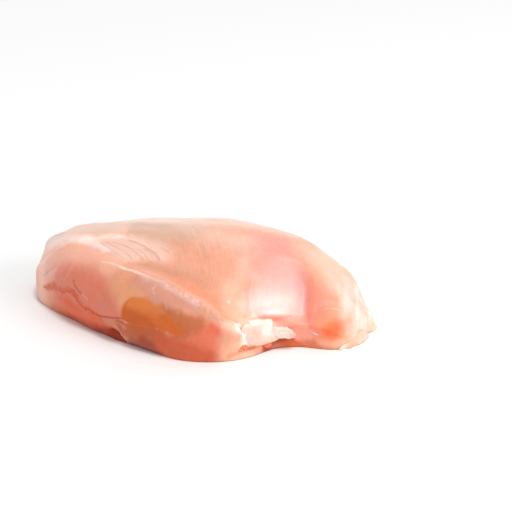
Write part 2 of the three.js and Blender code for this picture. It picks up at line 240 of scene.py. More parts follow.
# The sides that outlines are drawn on: two directions that span the picture, the way it faces, and how
# far out that way the surface must lie to take none of the colour and all of it.
KEEL_SIDE = ((1, 0, 0), (0, 0, 1), (0, -1, 0), (33, 38))
TOP = ((1, 0, 0), (0, 1, 0), (0, 0, 1), (6, 19))
FRONT_END = ((0.669, 0.743, 0), (0, 0, 1), (0.743, -0.669, 0), (16, 21))

# The mass is a grid of rows round CENTRE, from the underside over the foot and the wall to the top.
CENTRE = np.array([2.0, -2.0])
COLUMNS_PER_POINT = 24
# The share of the way out at which the first row lies
FIRST_ROW = 0.03
UNDERSIDE_ROWS = 6
FOOT_ROWS = 12
WALL_ROWS = 145
# The rows round the belly line that soften_fold smooths, how often, and the slopes of the rim from which
# it smooths at all and fully
FOLD_START = UNDERSIDE_ROWS + 3
FOLD_END = UNDERSIDE_ROWS + FOOT_ROWS + 22
FOLD_PASSES = 50
FOLD_SLOPES = (0.1, 0.5)
# Steps between two points of a route or of an outline
ROUTE_STEPS = 16
OUTLINE_STEPS = 12
THREAD_STEPS = 24


def curve_between(a, b, c, d, t):
    """Catmull-Rom: half of 2b + (c-a)t + (2a-5b+4c-d)t2 + (3b-a-3c+d)t3, which runs from b to c."""
    square, cube = 2 * a - 5 * b + 4 * c - d, 3 * b - a - 3 * c + d
    return 0.5 * (2 * b + (c - a) * t + square * t**2 + cube * t**3)


def closed_line(points, steps):
    """Every value of the points as a closed Catmull-Rom curve, with that many steps from one to the next."""
    p = np.asarray(points, float)
    t = np.linspace(0, 1, steps, endpoint=False)[None, :, None]
    around = [np.roll(p, shift, 0)[:, None, :] for shift in (1, 0, -1, -2)]
    return curve_between(*around, t).reshape(len(p) * steps, -1)


def open_line(points, steps):
    """An open Catmull-Rom curve through the points, whose ends go straight on."""
    p = np.asarray(points, float)
    p = np.concatenate([[2 * p[0] - p[1]], p, [2 * p[-1] - p[-2]]])
    t = np.linspace(0, 1, steps, endpoint=False)[None, :, None]
    around = [p[k:len(p) - 3 + k][:, None, :] for k in range(4)]
    return np.concatenate([curve_between(*around, t).reshape(-1, p.shape[1]), p[-2:-1]])


def even_line(line, count):
    """That many points along a polyline, spaced evenly by the number of its own points."""
    spots = np.linspace(0, 1, len(line))
    return np.stack([np.interp(np.linspace(0, 1, count), spots, values) for values in line.T], -1)


def unit(vectors):
    """Each vector divided by its length."""
    return vectors / np.maximum(np.linalg.norm(vectors, axis=-1, keepdims=True), 1e-9)


def smooth(low, high, value):
    """0 below low, 1 above high, and 3t2 - 2t3 between them."""
    t = np.clip((value - low) / (high - low), 0, 1)
    return t * t * (3 - 2 * t)


def ripples(points, size, seed, waves=14):
    """Soft noise near -1..1: a sum of plane sine waves in random directions, each of them 0.7 to 1.4
    times that size long."""
    random = np.random.default_rng(seed)
    direction = random.normal(size=(waves, 3))
    direction /= np.linalg.norm(direction, axis=1, keepdims=True)
    rate = 2 * np.pi / (size * random.uniform(0.7, 1.4, waves))
    phase = random.uniform(0, 2 * np.pi, waves)
    total = np.zeros(len(points))
    for k in range(waves):
        total += np.sin(points @ direction[k] * rate[k] + phase[k])
    return total * np.sqrt(2 / waves) * 0.7


def noise(points, parts):
    """The sum of height times ripples of that size and seed."""
    return sum(height * ripples(points, size, seed) for height, size, seed in parts)


def crown_height(x, y):
    """SUMMIT's height less the falls along and across the long axis, plus a bell for each swell."""
    dx, dy = x - SUMMIT[0], y - SUMMIT[1]
    along = dx * np.cos(LONG_AXIS_TURN) + dy * np.sin(LONG_AXIS_TURN)
    across = dy * np.cos(LONG_AXIS_TURN) - dx * np.sin(LONG_AXIS_TURN)
    fall = np.where(across > 0, FALL_FAR_SIDE / (1 + (across / FAR_SIDE_REACH) ** 2), FALL_NEAR_SIDE)
    height = SUMMIT[2] - FALL_ALONG * along**2 - fall * across**2
    for cx, cy, length, width, turn, rise in SWELLS.values():
        cosine, sine = np.cos(np.radians(turn)), np.sin(np.radians(turn))
        lengthwise = ((x - cx) * cosine + (y - cy) * sine) / length
        crosswise = ((y - cy) * cosine - (x - cx) * sine) / width
        height = height + rise * np.exp(-(lengthwise**2 + crosswise**2))
    return height


def mass_rows():
    """The smooth mass as rows by columns by 3: a flat underside from the middle out, a foot that stands
    in by undercut times 1 - share to the power FOOT_BEND up to the belly line, and a wall that rolls
    over to the crown, pushed in where the notch is, though less at its foot."""
    x, y, belly, undercut, roll, slope, notch = closed_line(list(OUTLINE.values()), COLUMNS_PER_POINT).T
    sideways = x * FRONT_END[0][0] + y * FRONT_END[0][1]
    undercut = undercut * np.interp(sideways, FOOT_CURL_PLACES, FOOT_CURL)
    notch = np.maximum(notch, 0)
    flare = NOTCH_FLARE * notch
    out = np.stack([x, y], -1) - CENTRE
    radius = np.linalg.norm(out, axis=1)
    direction = out / radius[:, None]

    def place(distance, height, beyond=0):
        """A row at that distance from CENTRE, but not past the notch by more than a soft bend's width."""
        over = distance - (radius - notch)
        pushed = np.where(notch > 0, (over + np.hypot(over, 2 * NOTCH_SOFTNESS * notch)) / 2, 0)
        kept = distance - np.minimum(pushed, distance) + beyond
        return np.concatenate([CENTRE + direction * kept[:, None], height[:, None]], 1)

    rows = []
    for reach in np.linspace(FIRST_ROW, 1, UNDERSIDE_ROWS, endpoint=False):
        rows.append(place(reach * (radius - undercut), np.zeros_like(radius), reach * flare))
    for share in np.linspace(0, 1, FOOT_ROWS, endpoint=False):
        low = (1 - share) ** FOOT_BEND
        rows.append(place(radius - undercut * low, belly * share, flare * low))
    for step in np.linspace(0, 1, WALL_ROWS, endpoint=False):
        distance = (1 - step**2) * radius
        fill = 1 - (1 - np.minimum((radius - distance) / roll, 1)) ** 3
        rim = (1 - slope) * np.sqrt(fill) + slope * fill
        ground = CENTRE + direction * distance[:, None]
        crown = crown_height(ground[:, 0], ground[:, 1])
        rows.append(place(distance, belly + (crown - belly) * rim))
    return soften_fold(np.array(rows), smooth(*FOLD_SLOPES, slope))


def soften_fold(rows, share):
    """Near the belly line each point goes FOLD_PASSES times to the mean of itself, twice, and its two
    neighbours in its column, by that share, so a sloping face meets its foot in a soft bend."""
    for _ in range(FOLD_PASSES):
        inner = rows[FOLD_START:FOLD_END]
        mean = (rows[FOLD_START - 1:FOLD_END - 1] + 2 * inner + rows[FOLD_START + 1:FOLD_END + 1]) / 4
        rows[FOLD_START:FOLD_END] = inner + (mean - inner) * share[None, :, None]
    return rows


def row_normals(rows):
    """The cross product of the step to the next column and the step to the next row."""
    along = np.roll(rows, -1, 1) - np.roll(rows, 1, 1)
    return unit(np.cross(along, np.gradient(rows, axis=0)))


def beside(points, normals, route, reach):
    """For points near a route: which they are, their distance to it, their place along it from 0 to 1,
    and whether they lie above it, seen along the surface."""
    line = open_line(route, ROUTE_STEPS)
    low, high = line.min(0) - reach, line.max(0) + reach
    near = np.nonzero(((points > low) & (points < high)).all(1))[0]
    gap2 = ((points[near, None, :] - line[None]) ** 2).sum(-1)
    nearest = gap2.argmin(1)
    last = len(line) - 1
    tangent = line[np.minimum(nearest + 1, last)] - line[np.maximum(nearest - 1, 0)]
    side = ((points[near] - line[nearest]) * np.cross(normals[near], tangent)).sum(1)
    return near, np.sqrt(gap2[np.arange(len(near)), nearest]), nearest / last, side > 0


def stroke_lift(points, normals, strokes):
    """For each stroke, its rise, a parabola through start, middle and end, times exp(-(gap / width)2)."""
    lift = np.zeros(len(points))
    for below, above, (start, middle, end), route in strokes.values():
        near, gap, t, upper = beside(points, normals, route, 3 * max(below, above))
        width = np.where(upper, above, below)
        rise = (1 - t) * (1 - 2 * t) * start + 4 * t * (1 - t) * middle + t * (2 * t - 1) * end
        lift[near] += rise * np.exp(-((gap / width) ** 2))
    return lift


def wrinkle_strokes():
    """The wrinkles in the form of strokes: each follows WRINKLE_COURSE times its depth."""
    return {
        name: (WRINKLE_WIDTH, WRINKLE_WIDTH, [part * depth for part in WRINKLE_COURSE], route)
        for name, (depth, route) in WRINKLES.items()
    }


# How far outside an outline points are still looked at
REGION_MARGIN = 8
# The least width of an outline's edge
LEAST_EDGE = 0.2
# Cosines of the slants at which a surface starts to face a side and faces it fully
FACING = (0, 0.25)
# How far an edge wanders with the noise: at least, and more for each mm of its width
EDGE_WANDER = (0.3, 0.08)


def region_mask(points, normals, side, outline, wander=None):
    """1 inside a closed outline drawn on a side, 0 outside. Each outline point has its place on the side
    and the width in mm over which the edge fades there. Inside is where a ray crosses the outline an
    odd number of times."""
    u_axis, v_axis, facing = (np.array(axis, float) for axis in side[:3])
    curve = closed_line(outline, OUTLINE_STEPS)
    low, high = curve[:, :2].min(0) - REGION_MARGIN, curve[:, :2].max(0) + REGION_MARGIN
    flat = np.stack([points @ u_axis, points @ v_axis], 1)
    outward = smooth(*side[3], points @ facing) * smooth(*FACING, normals @ facing)
    near = np.nonzero((outward > 0) & ((flat > low) & (flat < high)).all(1))[0]
    place = flat[near, None, :]
    gap2 = ((place - curve[None, :, :2]) ** 2).sum(-1)
    nearest = gap2.argmin(1)
    gap = np.sqrt(gap2[np.arange(len(near)), nearest])
    start, end = curve[None, :, :2], np.roll(curve, -1, 0)[None, :, :2]
    spans = (start[..., 1] > place[..., 1]) != (end[..., 1] > place[..., 1])
    rise = np.where(spans, end[..., 1] - start[..., 1], 1)
    cross_at = start[..., 0] + (place[..., 1] - start[..., 1]) / rise * (end[..., 0] - start[..., 0])
    inside = (spans & (place[..., 0] < cross_at)).sum(1) % 2 == 1
    depth = np.where(inside, gap, -gap)
    soft = np.maximum(curve[nearest, 2], LEAST_EDGE)
    if wander is not None:
        depth = depth + wander[near] * (EDGE_WANDER[0] + EDGE_WANDER[1] * soft)
    mask = np.zeros(len(points))
    mask[near] = smooth(-0.5 * soft, 0.5 * soft, depth)
    return mask * outward


def bell(points, centre, radius):
    """exp(-(distance / radius)2), with one radius or one for each axis."""
    return np.exp(-(((points - np.array(centre)) / np.array(radius)) ** 2).sum(1))


# The fibres run in arcs round this point over the keel side.
GRAIN_CENTRE = np.array([-20.0, -70.0, 30.0])
GRAIN_RADIUS = 60
GRAIN_WANDER = [(0.35, 15, 21)]


def grain_places(points):
    """Distance from GRAIN_CENTRE, across the fibres, then arc length round it, along them, then 0."""
    out = points - GRAIN_CENTRE
    across = np.linalg.norm(out, axis=1) + noise(points, GRAIN_WANDER)
    return np.stack([across, np.arctan2(out[:, 1], out[:, 0]) * GRAIN_RADIUS, 0 * across], -1)


# The front face is one smooth, slightly domed facet: its middle, the way it faces, how far it stands out
# there, its radii across and up the slope, and its outline on FRONT_END.
FACE_MIDDLE = np.array([46, -3.3, 14.8])
FACE_NORMAL = np.array([0.560, -0.398, 0.726])
FACE_RISE = 0.3
FACE_RADII = (170, 52)
# Share of the unevenness that the face is free of
FACE_CALM = 0.85
FACE_OUTLINE = [
    (17.5, 12, 5), (16, 18, 6), (19, 25, 7), (28, 29, 7), (36, 28, 7), (41, 22, 5), (41.4, 16, 5),
    (39.4, 10.9, 4), (33, 10.3, 1.2), (24, 10.2, 1.5),
]


def face_move(points, normals):
    """Inside the face's outline, the move along its normal that brings a point to the dome FACE_RISE
    less a2 / 2R across less b2 / 2R up the slope."""
    first = np.array(FRONT_END[0])
    across = unit(first - FACE_NORMAL * (first @ FACE_NORMAL))
    upslope = np.cross(FACE_NORMAL, across)
    out = points - FACE_MIDDLE
    dome = FACE_RISE
    for way, radius in zip((across, upslope), FACE_RADII):
        dome = dome - (out @ way) ** 2 / (2 * radius)
    mask = region_mask(points, normals, FRONT_END, FACE_OUTLINE)
    return (mask * (dome - out @ FACE_NORMAL))[:, None] * FACE_NORMAL


def flesh_form():
    """The mass raised by the broad relief, smoothed at the front face, then raised by the fine relief,
    always along its normal."""
    rows = mass_rows()
    shape = rows.shape
    points, normals = rows.reshape(-1, 3), row_normals(rows).reshape(-1, 3)
    fade = np.clip(points[:, 2] / RELIEF_STARTS_AT, 0, 1)
    lift = stroke_lift(points, normals, STROKES)
    for centre, radius, rise in LUMPS.values():
        lift += rise * bell(points, centre, radius)
    for lengths, shift, height in WAVES:
        lift += height * np.sin(2 * np.pi * (points / np.array(lengths)).sum(1) + shift)
    points = points + normals * (lift * fade)[:, None]
    normals = row_normals(points.reshape(shape)).reshape(-1, 3)
    points = points + face_move(points, normals)

    normals = row_normals(points.reshape(shape)).reshape(-1, 3)
    fine = stroke_lift(points, normals, FINE_STROKES | wrinkle_strokes())
    fine += TAIL_FILM_THICKNESS * region_mask(points, normals, *REGIONS["tail film"][2:])
    calm = 1 - FACE_CALM * region_mask(points, normals, FRONT_END, FACE_OUTLINE)
    fine += calm * noise(points, UNEVENNESS)
    for route in (STROKES["keel ridge"][-1], STAINS_AND_PAINTED_LIGHT["broad ridge"][-1]):
        near, gap, t, _ = beside(points, normals, route, ROUGH_RIDGE_REACH)
        share = smooth(0, ROUGH_RIDGE_START, t) * np.exp(-((gap / ROUGH_RIDGE_WIDTH) ** 2))
        fine[near] += share * noise(points[near], ROUGH_RIDGE)
    points = points + normals * (fine * np.clip(points[:, 2] / FINE_RELIEF_STARTS_AT, 0, 1))[:, None]
    return points.reshape(shape)


def closed_piece(name, rows):
    """A closed surface from rows by columns by 3, wrapped round its columns, with a fan at each end to
    the mean of that row. What would reach below the table lies flat on it."""
    count, across = rows.shape[:2]
    points = np.concatenate([rows.reshape(-1, 3), [rows[0].mean(0), rows[-1].mean(0)]])
    points[:, 2] = np.maximum(points[:, 2], 0)
    here = np.arange((count - 1) * across).reshape(count - 1, across)
    side = np.roll(here, -1, 1)
    quads = np.stack([here, side, side + across, here + across], -1).reshape(-1, 4)
    c = np.arange(across)
    following = (c + 1) % across
    first, last = count * across, count * across + 1
    top = (count - 1) * across
    fans = np.concatenate([
        np.stack([np.full(across, first), following, c], -1),
        np.stack([np.full(across, last), top + c, top + following], -1),
    ])
    mesh = bpy.data.meshes.new(name)
    mesh.from_pydata(((points - BOX_MIDDLE) * MM).tolist(), [], quads.tolist() + fans.tolist())
    mesh.polygons.foreach_set("use_smooth", np.ones(len(mesh.polygons), bool))
    piece = bpy.data.objects.new(name, mesh)
    bpy.context.scene.collection.objects.link(piece)
    return piece, points


def give_values(piece, name, values):
    """Keeps one number, three numbers or a colour for each point of the piece, for its material."""
    values = np.asarray(values, float)
    kind, key = "FLOAT_VECTOR", "vector"
    if values.ndim == 1:
        kind, key = "FLOAT", "value"
    elif name == "tint":
        kind, key = "FLOAT_COLOR", "color"
        values = np.concatenate([values, np.ones((len(values), 1))], 1)
    piece.data.attributes.new(name, kind, "POINT").data.foreach_set(key, values.ravel())


def linear(hex_colour):
    """An sRGB hex colour as linear red, green and blue."""
    srgb = np.array([int(hex_colour[k:k + 2], 16) for k in (1, 3, 5)]) / 255
    return np.where(srgb <= 0.04045, srgb / 12.92, ((srgb + 0.055) / 1.055) ** 2.4)


def opaque(hex_colour):
    """An sRGB hex colour as linear red, green, blue and a full alpha, for a socket."""
    return (*linear(hex_colour), 1)


# The muscle's own colour, under all that is laid on it
MUSCLE = "#e09e82"

# Patches of colour, laid on in turn: colour, strength, side, outline as place on the side and width of the
# edge. Some are the meat's own colour, some are painted shade and painted light.
REGIONS = {
    # Partly painted shade: the flank's own red, darkened for a side turned away from the lamps.
    "flank of the tail": ("#d46e56", 0.8, KEEL_SIDE, [
        (-34, 20, 12), (-20, 25, 10), (-5, 25, 8), (6, 20, 8), (12, 14, 5), (11, 9, 7), (-6, 3, 7),
        (-30, 6, 10)]),
    "tan above the patch": ("#e09a70", 0.8, KEEL_SIDE, [
        (2, 23, 8), (4, 27, 5), (16, 26.5, 6), (26, 23.5, 5), (35, 20, 5), (45, 15, 8), (42, 9, 7),
        (30, 12, 6), (14, 14, 6)]),
    "grey membrane": ("#d49480", 0.85, KEEL_SIDE, [
        (11, 27, 6), (18, 27.3, 1.5), (26, 26.3, 1), (36, 24.2, 1), (43, 20.6, 1.5), (46, 19, 3),
        (41, 19.5, 4), (35, 20.6, 4), (28, 20.5, 3), (21, 22.5, 4), (13, 24.5, 5)]),
    # Painted shade and painted bounce light: the tail's foot turns darker and redder towards the table.
    "painted shade on the orange foot of the tail": ("#da5a26", 0.85, KEEL_SIDE, [
        (-36, 5, 14), (-33, 8.6, 8), (-28, 10.6, 4), (-18, 12, 4), (-8, 9, 3), (4, 9, 3), (6, 3, 4),
        (-20, 0, 4), (-35, 0, 14)]),
    "painted shade on the red foot of the tail": ("#c44a1e", 0.8, KEEL_SIDE, [
        (-32, 0.5, 12), (-20, 3, 4), (-4, 5, 4), (4, 6, 1.5), (7.5, 2.8, 1), (11, -1, 2), (-20, -2, 2),
        (-33, -1, 12)]),
    # Painted shade: the dark red-brown of the hollow over the step in the foot.
    "painted shade in the hollow of the step": ("#a83a10", 0.8, KEEL_SIDE, [
        (-8, 1, 4), (-3, 3.4, 3), (2, 5, 1.5), (5.4, 4.6, 0.6), (8, 2.4, 0.6), (10, -1, 1),
        (-6, -1, 3)]),
    "tan foot": ("#b84e0c", 0.9, KEEL_SIDE, [
        (9.5, 10.4, 1), (15, 10.6, 1), (22, 11.2, 1), (30, 11.4, 1.6), (38, 9, 6), (42, 6, 12),
        (36, 1, 12), (20, 3, 6), (11, 4, 2)]),
    # Painted shade: the dark brown where the foot below the patch lies in shade.
    "painted shade on the foot below the patch": ("#a03600", 0.9, KEEL_SIDE, [
        (14, 3, 4), (22, 6.5, 4), (28, 5, 5), (31, -1, 5), (20, -2, 4), (12, -1, 2)]),
    "red front of the keel side": ("#dc6844", 0.8, KEEL_SIDE, [
        (34, 11, 10), (44, 16, 8), (50.5, 13, 4), (52, 6, 5), (48, 0, 5), (36, 2, 8)]),
    "orange foot of the keel side": ("#d05a2c", 0.75, KEEL_SIDE, [
        (29, 8, 4), (36, 8.5, 4), (43, 8, 5), (49, 4, 4), (48, -1, 2), (31, -2, 3)]),
    "orange beside the patch": ("#ba663a", 0.85, KEEL_SIDE, [
        (29, 20.5, 3), (35, 20.4, 3), (40, 19.2, 3), (44.6, 18, 3), (46, 15.6, 4), (44, 12.6, 4),
        (41.4, 10.8, 4), (37, 9.6, 3), (38, 13, 4), (33, 17, 3)]),
    "peach top of the tail's side": ("#f4b8a0", 0.6, KEEL_SIDE, [
        (-56, 16, 5), (-46, 19, 5), (-40, 18.6, 4), (-33, 22, 4), (-27, 24, 5), (-21, 25, 5),
        (-15, 26, 5), (-9, 26.4, 5), (-2, 25, 5), (2, 29, 4), (-6, 32, 4), (-20, 32, 4), (-36, 32, 4),
        (-52, 26, 5)]),
    "amber patch": ("#d26408", 0.97, KEEL_SIDE, [
        (12, 14.2, 0.8), (12, 16.8, 0.8), (13, 18.9, 0.9), (15.5, 20.6, 1), (19, 21.4, 1.4),
        (23, 21.2, 2.2), (27, 20.6, 3), (31, 19.2, 3.5), (35, 17.4, 4), (39, 15, 5), (40.5, 12.6, 5),
        (38, 10.8, 3), (33, 11, 1.6), (28, 11.4, 1.2), (23, 11.1, 1), (19, 10.5, 1), (15, 10.7, 1),
        (12.8, 12, 0.9)]),
    "darker foot of the patch": ("#bc520c", 0.6, KEEL_SIDE, [
        (12, 13, 1.5), (12.5, 18, 3), (17, 17.4, 4), (24, 15, 4), (30, 12, 3), (24, 11.2, 1.5),
        (18, 10.5, 1.5), (13.5, 11.2, 1)]),
    "lighter top of the patch": ("#e08a48", 0.55, KEEL_SIDE, [
        (13, 17, 3), (15.5, 21, 2), (23, 21.6, 2), (31, 19.4, 3), (27, 16.5, 5), (18, 16.5, 4)]),
    "peach corner": ("#fdbd9c", 0.85, FRONT_END, [
        (9, -1, 10), (10, 5, 10), (12, 9, 7), (15, 8, 4), (18, 5, 3), (20, -1, 3)]),
    "tail film": ("#e4bdab", 0.65, TOP, [
        (-66, -36, 3), (-55, -40.5, 2), (-41, -42.5, 1.5), (-30, -39, 1.5), (-22.5, -33, 0.8),
        (-19.6, -27.5, 0.6), (-22, -23.5, 0.8), (-31, -20, 4), (-44, -15, 7), (-60, -10, 9),
        (-72, -24, 8)]),
    "wrinkled film": ("#e8c4b4", 0.7, TOP, [
        (-28, -40, 3), (-14, -41, 3), (-2, -41.5, 4), (6, -36, 6), (8, -26, 8), (-4, -19, 8),
        (-18, -24, 4), (-22, -33, 2)]),
    "pale top of the tail": ("#e9c4b2", 0.8, TOP, [
        (-72, -30, 10), (-50, -36, 8), (-26, -26, 8), (-10, -12, 10), (-10, 12, 12), (-40, 24, 14),
        (-66, 8, 12)]),
    "grey green top": ("#c8a48c", 0.65, TOP, [
        (-19, -24, 5), (-6, -21, 8), (4, -12, 10), (4, -2, 12), (-12, 0, 12), (-28, -14, 8)]),
    # Painted sheen: the far rim of the crown made lighter, standing for its grazing reflection.
    "painted sheen on the far rim": ("#f6d9c8", 0.7, TOP, [
        (-40, -14, 12), (-16, -6, 8), (0, 0, 8), (14, 12, 10), (26, 30, 10), (0, 50, 12), (-40, 40, 12),
        (-64, 8, 12)]),
    "flush on the dome": ("#e89790", 0.65, TOP, [
        (16, 10, 16), (22, 22, 18), (36, 21, 18), (41, 10, 14), (34, -2, 14), (24, -2, 14)]),
    "pale shoulder of the lobe": ("#edc4ac", 0.8, TOP, [
        (30, 24, 16), (34, 42, 12), (52, 44, 10), (64, 24, 8), (58, 16, 6), (46, 18, 12)]),
    # Partly painted highlight: pale cream tissue by the tab, made paler where the face's shine spreads over
    # it.
    "pale cream and painted highlight by the tab": ("#f6d6c0", 0.75, FRONT_END, [
        (12, 13.5, 4), (12, 16, 5), (17, 18, 5), (22, 17.5, 5), (22, 13, 5), (15, 12, 3)]),
    "front face": ("#edbcb6", 0.75, FRONT_END, [
        (16, 14, 6), (19, 21, 9), (28, 25, 12), (38, 24, 9), (41, 18, 1.4), (41, 11.3, 0.8),
        (33, 11, 1), (24, 11, 3)]),
    "pink edge of the face": ("#e2908c", 0.7, FRONT_END, [
        (36.8, 13.6, 5), (36.6, 17.5, 4), (36.4, 22, 5), (39.6, 23, 4), (41.4, 18, 1),
        (41.2, 14.2, 3)]),
    "cut face": ("#ffac98", 0.85, FRONT_END, [
        (21, 10, 1.5), (32, 10.4, 1), (41, 10.8, 2), (49, 8, 4), (48, 0, 3), (24, 0, 3)]),
    # Painted shade: the orange of the furrow between face and lobe stands for the shade in that hollow.
    "painted shade in the furrow": ("#ee907a", 0.85, FRONT_END, [
        (40.2, 21, 4), (40.4, 16, 1.4), (40.2, 11, 1.4), (42, 7, 4), (49, 8, 4), (49, 13, 6),
        (47, 18, 8), (43.5, 22, 8)]),
    "bulge of the lobe": ("#f0946e", 0.75, FRONT_END, [
        (43.6, 6, 4), (43.8, 11, 3), (49, 13, 2), (51, 12.2, 3), (53.4, 9, 5), (54.4, 3, 5), (51, 0, 4),
        (45, 0, 4)]),
    # Partly painted light: the lobe's pale side, made paler as if lit from the right.
    "pale side and painted light of the lobe": ("#f5d4c5", 0.85, FRONT_END, [
        (53, 22, 6), (53.5, 16, 4), (57.5, 12, 4), (60, 6, 4), (64, 2, 4), (66, 14, 4), (60, 24, 6)]),
    "peach toe of the lobe": ("#fdac86", 0.85, FRONT_END, [
        (51, 2, 4), (53, 4.6, 4), (57, 5.5, 4), (62, 4, 3), (62, -1, 2), (51, -1, 3)]),
    # Painted shade: the dark red wedge where the foot lies in the tab's shadow.
    "painted shade in the wedge under the tab": ("#a83a0c", 0.9, FRONT_END, [
        (24, -1, 2), (25, 4, 2), (30, 4.6, 2), (35, 3.6, 2), (38, 1.6, 2), (39, -1, 2)]),
    "orange foot of the notch": ("#e2713c", 0.75, FRONT_END, [
        (27, -1, 2), (28.5, 1.6, 2), (33, 2.4, 2), (38, 3, 2.5), (44, 3, 3), (45, -1, 3)]),
}

# Torn, ragged membrane low on the tail: its outline on the keel side, which its material frays.
TORN_COLOUR = "#cb4a12"
TORN_FRAY = 2.4
TORN_MEMBRANE = [
    (-43, 9.2), (-38, 11.6), (-34.5, 13.6), (-32, 14.8), (-29.5, 13.4), (-27, 13.6), (-24.5, 14.2),
    (-22, 15.2), (-18.6, 16), (-15.6, 16), (-13, 14.4), (-11.4, 12.2), (-9.4, 11.3), (-6.6, 11),
    (-4, 10.2), (-2, 9.6), (-3.6, 8.8), (-6.4, 9.1), (-9.2, 9.8), (-12.4, 10.4), (-14, 12.4),
    (-16.2, 13.6), (-20, 13.6), (-22.6, 12.4), (-24.6, 10.6), (-26, 12), (-29, 11.6), (-33, 10.6),
    (-38, 9),
]

# The routes of the fine strokes, for lines that show in relief and in colour
ROUTE = {name: stroke[-1] for name, stroke in FINE_STROKES.items()}
